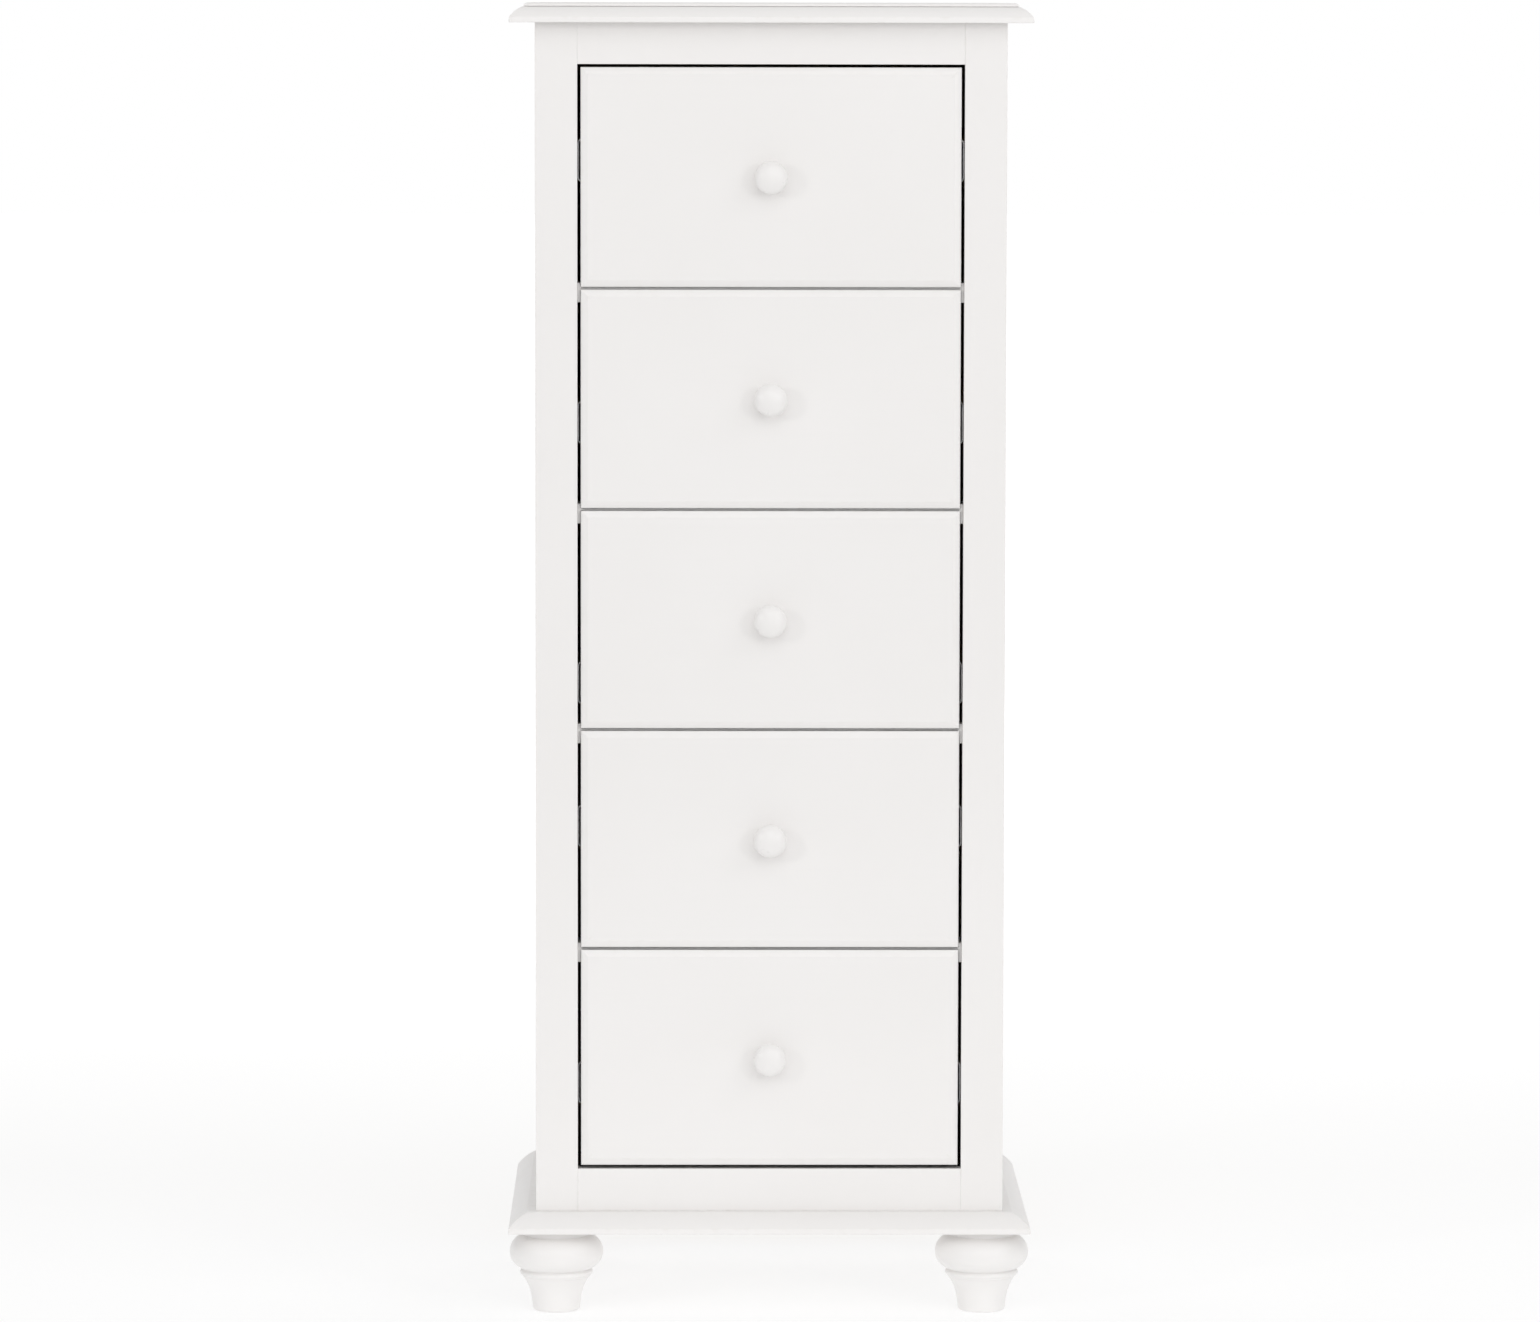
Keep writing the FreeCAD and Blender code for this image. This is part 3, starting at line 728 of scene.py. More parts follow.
@dataclass(frozen=True)
class PlyPanel:
    """Thin birch plywood, with its plies showing on the edges.

    Attributes:
        name: Name of the material.
        slot: Name of a material slot. Not used.
        grain: Direction of the face's grain.
        face: Axis that the panel faces.
        ply: Thickness of one ply.
        pale: Main colour of the face.
        dark: Colour of its figure.
        core: Colour of the plies laid across.
        gloss: Lowest and highest roughness.
    """

    name: str
    slot: str
    grain: Axis
    face: Axis
    ply: float = 1.5 * MM
    pale: Colour = (0.700, 0.560, 0.385, 1.0)
    dark: Colour = (0.560, 0.415, 0.255, 1.0)
    core: Colour = (0.400, 0.270, 0.155, 1.0)
    gloss: Pair = (0.50, 0.66)

    def material(self) -> bpy.types.Material:
        """Builds the material.

        Returns:
            The material, with its nodes.
        """
        graph = Graph(self.name)
        figure = graph.noise(graph.stretched(self.grain, 22.0, 1.6), 1.0, 4.0, 1.2)
        fibre = graph.noise(graph.stretched(self.grain, 700.0, 22.0), 1.0, 3.0)
        face_tone = graph.blend(graph.spread(figure, 0.35, 0.7, 0.0, 0.8), self.pale, self.dark)
        face_tone = graph.blend(graph.spread(fibre, 0.5, 0.8, 0.0, 0.4), face_tone, self.dark)
        plies = graph.bands(graph.coordinates(), self.face, BAND_LENGTH / self.ply / 2, 0.0)
        edge_tone = graph.blend(graph.spread(plies, 0.45, 0.55, 0.0, 1.0), self.dark, self.core)
        on_face = graph.spread(graph.facing(self.face), 0.4, 0.6, 0.0, 1.0)
        tone = graph.blend(on_face, edge_tone, face_tone)
        sheen = graph.spread(fibre, 0.3, 0.7, *self.gloss)
        return graph.finish(tone, sheen, graph.relief(fibre, 0.06 * MM))


@dataclass(frozen=True)
class ZincSteel:
    """Rolled steel with a bright zinc coat.

    Attributes:
        name: Name of the material.
        slot: Name of a material slot. Not used.
        rolled: Direction in which it was rolled.
        colour: Main colour.
        dull: Colour of the duller patches.
        gloss: Lowest and highest roughness.
    """

    name: str
    slot: str
    rolled: Axis
    colour: Colour = (0.640, 0.645, 0.650, 1.0)
    dull: Colour = (0.520, 0.520, 0.515, 1.0)
    gloss: Pair = (0.24, 0.44)

    def material(self) -> bpy.types.Material:
        """Builds the material.

        Returns:
            The material, with its nodes.
        """
        graph = Graph(self.name)
        spangle = graph.noise(graph.coordinates(), 160.0, 3.0, 0.6)
        streak = graph.noise(graph.stretched(self.rolled, 900.0, 20.0), 1.0, 2.0)
        graph.shader.inputs["Metallic"].default_value = 1.0
        tone = graph.blend(graph.spread(spangle, 0.4, 0.65, 0.0, 1.0), self.colour, self.dull)
        sheen = graph.spread(graph.reckon("ADD", spangle, streak), 0.7, 1.3, *self.gloss)
        return graph.finish(tone, sheen, graph.relief(streak, 0.012 * MM))


class Finishes:
    """Every finish of the chest, each built once and shared by its pieces."""

    def __init__(self) -> None:
        """Lists the finishes by name."""
        smooth = {"shade": (0.872, 0.856, 0.844, 1.0), "fibre_depth": 0.002 * MM, "peel_depth": 0.004 * MM}
        self.known = {
            "paint_upright": SatinPaint("paint_upright", "painted_wood", Axis.UPRIGHT),
            "paint_across": SatinPaint("paint_across", "painted_wood", Axis.ACROSS),
            "paint_turned": SatinPaint("paint_turned", "painted_wood", Axis.UPRIGHT, gloss=(0.28, 0.34),
                                       **smooth),
            "paint_knob": SatinPaint("paint_knob", "knob_paint", Axis.DEEP, gloss=(0.26, 0.34), **smooth),
            "box_side": ClearWood("box_side", "drawer_box_wood", Axis.DEEP, Axis.UPRIGHT),
            "box_back": ClearWood("box_back", "drawer_box_wood", Axis.ACROSS, Axis.UPRIGHT),
            "box_bottom": PlyPanel("box_bottom", "plywood", Axis.ACROSS, Axis.UPRIGHT),
            "back_sheet": PlyPanel("back_sheet", "plywood", Axis.UPRIGHT, Axis.DEEP),
            "softwood": ClearWood("softwood", "inner_softwood", Axis.DEEP, Axis.UPRIGHT,
                                  pale=(0.720, 0.560, 0.370, 1.0), dark=(0.540, 0.350, 0.180, 1.0),
                                  figure=34.0),
            "steel_runner": ZincSteel("steel_runner", "zinc_steel", Axis.DEEP),
            "steel_screw": ZincSteel("steel_screw", "zinc_steel", Axis.UPRIGHT, gloss=(0.20, 0.34)),
        }
        self.made: dict[str, bpy.types.Material] = {}

    def apply(self, piece: bpy.types.Object, name: str) -> None:
        """Gives a piece its material and slot.

        Args:
            piece: Piece to dress.
            name: Name of the finish.
        """
        if name not in self.made:
            self.made[name] = self.known[name].material()
        piece.data.materials.clear()
        piece.data.materials.append(self.made[name])


@dataclass
class Workshop:
    """Puts finished pieces on their bodies.

    Attributes:
        finishes: The finishes to dress pieces with.
    """

    finishes: Finishes = field(default_factory=Finishes)

    def place(self, shell: Shell, name: str, body: str, finish: str, *nodes: str,
              crease: float = CREASE) -> None:
        """Makes a piece from its skin, dresses it and lets it stand for CAD nodes.

        Args:
            shell: Skin of the piece.
            name: Name of the piece.
            body: Body that it rides on.
            finish: Name of its finish.
            nodes: CAD nodes that it stands for.
            crease: Angle past which an edge stays sharp.
        """
        piece = shell.to_object(name, crease)
        self.finishes.apply(piece, finish)
        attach(piece, body)
        if nodes:
            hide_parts(*nodes)
        LOG.info("%s: %d faces on %s in %s", name, len(piece.data.polygons), body, finish)

    def board(self, node: str, name: str, body: str, finish: str, axis: Axis, easing: float) -> None:
        """Makes a plain board that fills the box of its CAD node.

        Args:
            node: CAD node that it stands for.
            name: Name of the piece.
            body: Body that it rides on.
            finish: Name of its finish.
            axis: Direction of its length.
            easing: Radius of the arrises.
        """
        shell = Shell()
        board(shell, *box_of(node), axis, easing)
        self.place(shell, name, body, finish, node)

    def dress(self, node: str, finish: str) -> None:
        """Gives a CAD node that stays in view its material.

        Args:
            node: Name of the node.
            finish: Name of its finish.
        """
        self.finishes.apply(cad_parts[node], finish)
        LOG.info("%s keeps its shape, in %s", node, finish)


def box_of(node: str) -> tuple[np.ndarray, np.ndarray]:
    """Lowest and highest corner of a CAD node."""
    low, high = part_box(node)
    return np.array(low), np.array(high)


# ---------------------------------------------------------------- carcass


@dataclass(frozen=True)
class MouldedBoard:
    """Top or base board, moulded on the front and both ends: lip, shallow ovolo, quirk and bead.

    Attributes:
        node: CAD node that it stands for.
        lip_height: Height of the upright lip.
        lip_lean: How far the lip leans in.
        ovolo_width: Width of the ovolo.
        ovolo_bulge: How far the ovolo rises above its chord.
        bead: Width and height of the bead, or None where the ovolo runs up to the top face.
        quirk: Width and depth of the crease under the bead.
        easing: Radius of the bottom arris.
        corner: Radius of the lip's corners in plan.
    """

    node: str
    lip_height: float = 6 * MM
    lip_lean: float = 0.5 * MM
    ovolo_width: float = 14.5 * MM
    ovolo_bulge: float = 1.5 * MM
    bead: Pair | None = (5 * MM, 4 * MM)
    quirk: Pair = (1.0 * MM, 2.0 * MM)
    easing: float = 0.7 * MM
    corner: float = 1.2 * MM

    def profile(self, thickness: float) -> tuple[np.ndarray, np.ndarray]:
        """Moulding's profile from the bottom face to the top face.

        The ovolo is its chord plus a bulge of 4 t (1 - t) square to it. The bead is a quarter
        ellipse. Heights only rise, so that the square rear edge stays flat.

        Args:
            thickness: Thickness of the board.

        Returns:
            Inset and height of each point, and its closeness to an arris.
        """
        ease = arc((self.easing, self.easing), (self.easing, self.easing), -90, -180, QUARTER_STEPS)
        shoulder = np.array([[self.lip_lean * 0.9, self.lip_height - 0.35 * MM],
                             [self.lip_lean + 0.05 * MM, self.lip_height + 0.05 * MM]])
        bead_height = self.bead[1] if self.bead else 0.0
        end = np.array([self.lip_lean + self.ovolo_width, thickness - bead_height])
        chord = end - shoulder[1]
        out = np.array([-chord[1], chord[0]]) / np.linalg.norm(chord)
        t = np.linspace(0, 1, 16)[1:, None]
        ovolo = shoulder[1] + t * chord + 4 * self.ovolo_bulge * t * (1 - t) * out
        parts = [ease, [[0.0, 1.6 * MM]], shoulder, ovolo]
        near = [1.0] * QUARTER_STEPS + [0.0, 1.0, 1.0] + [0.0] * len(ovolo)
        if self.bead:
            parts[-1] = ovolo[:-1]
            width, depth = self.quirk
            start = end + np.array([0.2 * MM, width / 2])
            bead_size = (self.bead[0] - 0.2 * MM, self.bead[1] - width / 2)
            bead = arc((start[0] + bead_size[0], start[1]), bead_size, 180, 90, 11)
            parts += [[[end[0] + depth, end[1] + 0.1 * MM]], bead]
            near += [0.3] * len(bead)
        parts.append([[parts[-1][-1][0] + SUPPORT, thickness]])
        return np.concatenate([np.array(part) for part in parts]), np.array(near + [0.0])

    def build(self, shop: Workshop) -> None:
        """Carries the profile round the front and ends of the board.

        Args:
            shop: Where the piece is finished.
        """
        low, high = box_of(self.node)
        points, near = self.profile(high[2] - low[2])
        outline = Outline.rectangle((low[0], low[1]), (high[0], high[1]), (1.0, 1.0, 0.0, 1.0))
        stations = [Station(low[2], self.easing + SUPPORT, 0.2 * MM)]
        for (inset, height), arris in zip(points, near):
            rounding = max(self.corner - 0.12 * inset - 0.3 * MM, 0.25 * MM)
            stations.append(Station(low[2] + height, inset, rounding, float(arris)))
        shell = Shell()
        carry(shell, Axis.UPRIGHT, outline, stations)
        shop.place(shell, self.node + "_moulded", "carcass", "paint_across", self.node)


@dataclass(frozen=True)
class FaceFrame:
    """Stiles that run through, with a rail between them at the top and the bottom.

    Attributes:
        easing: Radius of the arrises, which makes a fine line of each joint.
    """

    easing: float = 0.45 * MM

    def build(self, shop: Workshop) -> None:
        """Builds the four pieces.

        Args:
            shop: Where they are finished.
        """
        for side in ("left", "right"):
            stile = side + "_stile"
            shop.board(stile, stile + "_post", "carcass", "paint_upright", Axis.UPRIGHT, self.easing)
        inner = box_of("right_stile")[0][0]
        for name in ("top_rail", "bottom_rail"):
            low, high = box_of(name)
            low[0], high[0] = -inner, inner
            shell = Shell()
            board(shell, low, high, Axis.ACROSS, self.easing)
            shop.place(shell, name + "_bar", "carcass", "paint_across", name)


@dataclass(frozen=True)
class DrivenScrew:
    """Steel screw seen from its head, with a cross recess.

    Attributes:
        radius: Radius of the head.
        dome: Height of the head's dome.
        recess: Depth of the cross.
        arm: Half length of the cross.
        slot: Half width of its arms.
    """

    radius: float = 3.6 * MM
    dome: float = 0.3 * MM
    recess: float = 1.1 * MM
    arm: float = 1.9 * MM
    slot: float = 0.42 * MM

    def head(self, shell: Shell, centre: Triple, axis: Axis, sign: int, rim: float) -> None:
        """Adds the head: a dome less a cross whose walls slope.

        The height at (x, y) is dome * (1 - r * r) - recess * cross, where cross falls from 1 to 0
        just outside the two arms.

        Args:
            shell: Skin to add to.
            centre: Middle of the head's seat.
            axis: Axis that the head faces.
            sign: 1 or -1 along that axis.
            rim: How far the rim stands above the seat.
        """
        wall, end_wall = 0.3 * MM, 0.5 * MM
        around = np.linspace(0, 2 * math.pi, 48, endpoint=False) * sign
        out = np.concatenate([[1.0, 1.0], np.linspace(0.97, 0.0, 22)])[:, None] * self.radius
        x, y = out * np.cos(around), out * np.sin(around)
        arms = [np.clip((self.slot - np.abs(a)) / wall + 1, 0, 1) *
                np.clip((self.arm - np.abs(b)) / end_wall + 1, 0, 1) for a, b in ((x, y), (y, x))]
        height = rim + self.dome * (1 - (out / self.radius) ** 2) - self.recess * np.maximum(*arms)
        height[0] = 0.0
        shell.add_grid(laid(axis, np.stack([x, y], axis=-1), sign * height) + np.array(centre))


@dataclass(frozen=True)
class Carcass:
    """Sides, back, divider rails and the small parts inside.

    Attributes:
        easing: Radius of the painted arrises.
        rebate: Width of the rebate for the back.
        divider_height: Height of a divider rail.
        divider_easing: Radius of a divider rail's arrises.
        batten_easing: Radius of a batten's arrises.
        screws_per_side: Number of back screws on each side.
        sheet_setback: How far the back sheet lies in from the rear, which lets its screw heads show.
        sheet_play: Gap at each side of the back sheet.
        sheet_easing: Radius of the back sheet's arrises.
    """

    easing: float = 0.8 * MM
    rebate: float = 9 * MM
    divider_height: float = 21 * MM
    divider_easing: float = 0.6 * MM
    batten_easing: float = 1.0 * MM
    screws_per_side: int = 6
    sheet_setback: float = 0.35 * MM
    sheet_play: float = 0.4 * MM
    sheet_easing: float = 0.3 * MM

    def build(self, shop: Workshop) -> None:
        """Builds or dresses every piece of the carcass but its boards, frame and feet.

        Args:
            shop: Where the pieces are finished.
        """
        self.sides(shop)
        self.back(shop)
        self.dividers(shop)
        self.battens(shop)
        shop.dress("corner_blocks", "softwood")
        shop.dress("foot_bolts", "steel_screw")

    def sides(self, shop: Workshop) -> None:
        """Builds the side panels, rebated at the rear.

        Args:
            shop: Where the pieces are finished.
        """
        back_y = box_of("back_panel")[0][1]
        for side, sign in (("left", -1), ("right", 1)):
            low, high = box_of(side + "_side_panel")
            corners = [(low[0], low[1]), (high[0], low[1])]
            if sign > 0:
                step = low[0] + self.rebate
                corners += [(high[0], high[1]), (step, high[1]), (step, back_y), (low[0], back_y)]
            else:
                step = high[0] - self.rebate
                corners += [(high[0], back_y), (step, back_y), (step, high[1]), (low[0], high[1])]
            shell = Shell()
            notched(shell, Outline(tuple(corners)), (low[2], high[2]), Axis.UPRIGHT, self.easing)
            shop.place(shell, side + "_side_board", "carcass", "paint_upright", side + "_side_panel")

    def back(self, shop: Workshop) -> None:
        """Builds the back sheet and its screws.

        Args:
            shop: Where the pieces are finished.
        """
        low, high = box_of("back_panel")
        low[0] += self.sheet_play
        high -= [self.sheet_play, self.sheet_setback, 0.0]
        shell = Shell()
        board(shell, low, high, Axis.UPRIGHT, self.sheet_easing)
        shop.place(shell, "back_sheet", "carcass", "back_sheet", "back_panel")
        low, high = box_of("back_panel_screws")
        screw = DrivenScrew()
        seat = high[1] - self.sheet_setback
        heads = Shell()
        for x in (low[0] + screw.radius, high[0] - screw.radius):
            for z in np.linspace(low[2] + screw.radius, high[2] - screw.radius, self.screws_per_side):
                screw.head(heads, (x, seat, z), Axis.DEEP, 1, self.sheet_setback - screw.dome)
        shop.place(heads, "back_screw_heads", "carcass", "steel_screw", "back_panel_screws",
                   crease=SCREW_CREASE)

    def dividers(self, shop: Workshop) -> None:
        """Builds the rail behind each gap: a tongue between the stiles and a wider part behind them.

        Args:
            shop: Where the pieces are finished.
        """
        low, high = box_of("divider_rails")
        stile_low, stile_high = box_of("right_stile")
        inner, behind = stile_low[0], stile_high[1]
        outline = Outline(((-inner, low[1]), (inner, low[1]), (inner, behind), (high[0], behind),
                           (high[0], high[1]), (low[0], high[1]), (low[0], behind), (-inner, behind)))
        shell = Shell()
        for bottom in np.linspace(low[2], high[2] - self.divider_height, len(DRAWER_NAMES) - 1):
            span = (bottom, bottom + self.divider_height)
            notched(shell, outline, span, Axis.UPRIGHT, self.divider_easing)
        shop.place(shell, "divider_rail_bars", "carcass", "paint_across", "divider_rails")

    def battens(self, shop: Workshop) -> None:
        """Builds the packing battens behind the runners.

        Args:
            shop: Where the pieces are finished.
        """
        boxes = [box_of(drawer + "_drawer_members") for drawer in DRAWER_NAMES]
        levels = [(low[2] + high[2]) / 2 for low, high in boxes]
        for side in ("left", "right"):
            low, high = box_of(side + "_runner_battens")
            half = high[2] - levels[0]
            shell = Shell()
            for level in levels:
                bottom, top = (low[0], low[1], level - half), (high[0], high[1], level + half)
                board(shell, bottom, top, Axis.DEEP, self.batten_easing)
            shop.place(shell, side + "_packing_battens", "carcass", "softwood", side + "_runner_battens")


@dataclass(frozen=True)
class TurnedFoot:
    """Turned foot: toe, flared cove, ring, groove, bun and neck.

    Attributes:
        place: Which foot it is.
        bun_section: Radius of the bun's section.
        bun_drop: How far its middle is below the board.
        neck: Radius of the neck.
        groove: Radius and height of the groove.
        ring: Radius and height of the ring.
        cove: Radius of the cove at its top and at its waist.
        toe: Radius and rounding of the toe.
    """

    place: str
    bun_section: float = 19 * MM
    bun_drop: float = 25.9 * MM
    neck: float = 36 * MM
    groove: Pair = (38.2 * MM, 1.2 * MM)
    ring: Pair = (39.3 * MM, 6.5 * MM)
    cove: Pair = (36.8 * MM, 26.6 * MM)
    toe: Pair = (25.6 * MM, 4 * MM)

    def profile(self, height: float, radius: float) -> np.ndarray:
        """Outline from the floor to the top.

        The bun is an arc of a circle that starts at the groove and ends at the neck. The cove is a
        cubic curve, and the toe and the ring are arcs of ellipses.

        Args:
            height: Height of the foot.
            radius: Largest radius of the bun.

        Returns:
            Radius and height of each point.
        """
        section = self.bun_section
        middle = height - self.bun_drop
        inner = radius - section
        start = -math.degrees(math.acos((self.groove[0] - inner) / section))
        end = math.degrees(math.acos((self.neck - inner) / section))
        bun = arc((inner, middle), (section, section), start, end, 40)
        ring_top = bun[0][1] - self.groove[1]
        ring_bottom = ring_top - self.ring[1]
        rise = ring_bottom - self.toe[1]
        toe = arc((self.toe[0] - self.toe[1], self.toe[1]), (self.toe[1], self.toe[1]), -90, 0, 9)
        cove = bezier((self.toe[0], self.toe[1]), (self.cove[1], self.toe[1] + rise / 4),
                      (self.cove[1], self.toe[1] + rise * 3 / 5), (self.cove[0], ring_bottom - 0.4 * MM), 24)
        lower = arc((self.cove[0] + 0.3 * MM, ring_bottom), (0.6 * MM, 0.4 * MM), -90, -40, 3)
        half = self.ring[1] / 2
        ring = arc((self.ring[0] - 3.1 * MM, ring_bottom + half), (3.1 * MM, half), -66, 66, 13)
        groove = np.array([[self.groove[0] - 0.5 * MM, ring_top + 0.1 * MM],
                           [self.groove[0] - 0.9 * MM, ring_top + self.groove[1] / 2],
                           [self.groove[0] - 0.5 * MM, bun[0][1] - 0.1 * MM]])
        neck = np.array([[self.neck - 0.2 * MM, bun[-1][1] + 0.3 * MM], [self.neck - 0.2 * MM, height]])
        parts = [[[0.0, 0.0]], toe, cove[1:], lower, ring, groove, bun, neck, [[0.0, height]]]
        return np.concatenate(parts)

    def build(self, shop: Workshop) -> None:
        """Turns the foot on the CAD node's axis.

        Args:
            shop: Where the piece is finished.
        """
        low, high = box_of(self.place + "_foot")
        centre = (low + high) / 2
        shell = Shell()
        profile = self.profile(high[2] - low[2], (high[0] - low[0]) / 2)
        turned(shell, profile, (centre[0], centre[1], low[2]), Axis.UPRIGHT, steps=128)
        name = self.place + "_foot"
        shop.place(shell, name + "_turned", "carcass", "paint_turned", name, crease=TURNED_CREASE)


# ---------------------------------------------------------------- drawers


@dataclass(frozen=True)
class Knob:
    """Turned mushroom knob on a collar, held by a pan-headed screw from inside.

    Attributes:
        radius: Radius of the head.
        collar: Radius and length of the collar.
        neck: Radius of the neck.
        head_start: Where the head begins, out from the front.
        rim: Where the head is widest.
        screw: Screw that holds it.
        screw_head: Height of the screw's head.
    """

    radius: float = 17.5 * MM
    collar: Pair = (10 * MM, 3 * MM)
    neck: float = 7.5 * MM
    head_start: float = 10 * MM
    rim: float = 18.5 * MM
    screw: DrivenScrew = DrivenScrew(4.5 * MM, 0.7 * MM, 1.3 * MM, 2.2 * MM, 0.5 * MM)
    screw_head: float = 2.5 * MM

    def profile(self, projection: float) -> np.ndarray:
        """Outline from the face of the front to the crown.

        The flare of the collar, the underside of the head and its crown are quarter ellipses.

        Args:
            projection: How far the knob stands out.

        Returns:
            Radius and distance out of each point.
        """
        flare_size = (self.collar[0] - self.neck, self.collar[1] - 0.8 * MM)
        flare = arc(self.collar, flare_size, -90, -180, 10)
        under_size = (self.radius - self.neck, self.rim - self.head_start)
        under = arc((self.neck, self.rim), under_size, -90, 0, 22)
        crown = arc((0.0, self.rim), (self.radius, projection - self.rim), 0, 90, 34)
        rim = [[0.0, 0.0], [self.collar[0] - 0.3 * MM, 0.0], [self.collar[0], 0.3 * MM]]
        return np.concatenate([rim, flare, under, crown[1:]])

    def build(self, shop: Workshop, drawer: str, face_y: float, back_y: float) -> None:
        """Turns the knob and its screw's head.

        Args:
            shop: Where the pieces are finished.
            drawer: Name of the drawer's body.
            face_y: Where the front's face is.
            back_y: Where the back of the front is.
        """
        low, high = box_of(drawer + "_knob")
        middle = (low[2] + high[2]) / 2
        shell = Shell()
        turned(shell, self.profile(face_y - low[1]), (0.0, face_y, middle), Axis.DEEP, -1, 96)
        node = drawer + "_knob"
        shop.place(shell, node + "_turned", drawer, "paint_knob", node, crease=TURNED_CREASE)
        head = Shell()
        rim_height = self.screw_head - self.screw.dome
        self.screw.head(head, (0.0, back_y, middle), Axis.DEEP, 1, rim_height)
        shop.place(head, drawer + "_knob_screw", drawer, "steel_screw", crease=SCREW_CREASE)


@dataclass(frozen=True)
class Drawer:
    """Drawer with a bevelled front, a box of plain boards and a turned knob.

    Attributes:
        name: Name of the drawer's body.
        bevel: Width and depth of the bevel round the face.
        lip: Thickness of the front's edge in front of the rebates.
        rebates: Height of the rebate along the bottom and along the top of the back.
        easing: Radius of the front's arrises.
        corner: Radius of the front's corners, seen from the front.
        block_play: How far the block behind the lip stays in from the ends.
        block_overlap: How far the block runs into the lip.
        box_easing: Radius of the box's arrises.
        bottom_easing: Radius of the bottom panel's arrises.
    """

    name: str
    bevel: Pair = (7.5 * MM, 2.5 * MM)
    lip: float = 4.5 * MM
    rebates: Pair = (6.2 * MM, 15.6 * MM)
    easing: float = 0.6 * MM
    corner: float = 1.0 * MM
    block_play: float = 0.1 * MM
    block_overlap: float = 1.5 * MM
    box_easing: float = 1.2 * MM
    bottom_easing: float = 0.3 * MM

    def build(self, shop: Workshop) -> None:
        """Builds the front, the box and the knob.

        Args:
            shop: Where the pieces are finished.
        """
        low, high = box_of(self.name + "_front")
        self.front(shop, low, high)
        Knob().build(shop, self.name, low[1], high[1])
        self.box(shop)

    def front(self, shop: Workshop, low: np.ndarray, high: np.ndarray) -> None:
        """Builds the front: a bevelled plate in front of a block that stops short at the rebates.

        Args:
            shop: Where the piece is finished.
            low: Lowest corner.
            high: Highest corner.
        """
        width, depth = self.bevel
        slope = np.array([width, -depth]) / math.hypot(width, depth)
        soft, corner = self.easing, self.corner
        stations = [
            Station(low[1], width + 4 * MM, 0.0),
            Station(low[1], width + 0.35 * MM, 0.0),
            Station(low[1] + 0.03 * MM, width + 0.1 * MM, 0.0, 0.6),
            Station(low[1] + 0.12 * MM, width - 0.25 * MM, 0.0, 0.6),
            Station(low[1] + depth * 0.5, width * 0.5, 0.3 * MM),
            Station(low[1] + depth + slope[1] * soft, slope[0] * soft + 0.15 * MM, corner * 0.6, 1.0),
            Station(low[1] + depth + 0.02 * MM, 0.25 * MM, corner * 0.8, 1.0),
            Station(low[1] + depth + 0.25 * MM, 0.05 * MM, corner, 1.0),
            Station(low[1] + depth + soft, 0.0, corner, 1.0),
            Station(low[1] + depth + soft + SUPPORT, 0.0, corner),
        ]
        stations += eased_end(low[1] + self.lip, -1, soft, corner)[::-1]
        shell = Shell()
        carry(shell, Axis.DEEP, Outline.rectangle((low[2], low[0]), (high[2], high[0])), stations)
        start = low[1] + self.lip - self.block_overlap
        block_low = (low[0] + self.block_play, start, low[2] + self.rebates[0])
        block_high = (high[0] - self.block_play, high[1], high[2] - self.rebates[1])
        board(shell, block_low, block_high, Axis.ACROSS, soft)
        node = self.name + "_front"
        shop.place(shell, node + "_board", self.name, "paint_across", node, crease=FRONT_CREASE)

    def box(self, shop: Workshop) -> None:
        """Builds the sides, back and bottom of the box.

        Args:
            shop: Where the pieces are finished.
        """
        parts = (
            ("left_side", "box_side", Axis.DEEP, self.box_easing),
            ("right_side", "box_side", Axis.DEEP, self.box_easing),
            ("back", "box_back", Axis.ACROSS, self.box_easing),
            ("bottom", "box_bottom", Axis.ACROSS, self.bottom_easing),
        )
        for part, finish, axis, easing in parts:
            node = self.name + "_" + part
            shop.board(node, node + "_board", self.name, finish, axis, easing)


# ---------------------------------------------------------------- runners


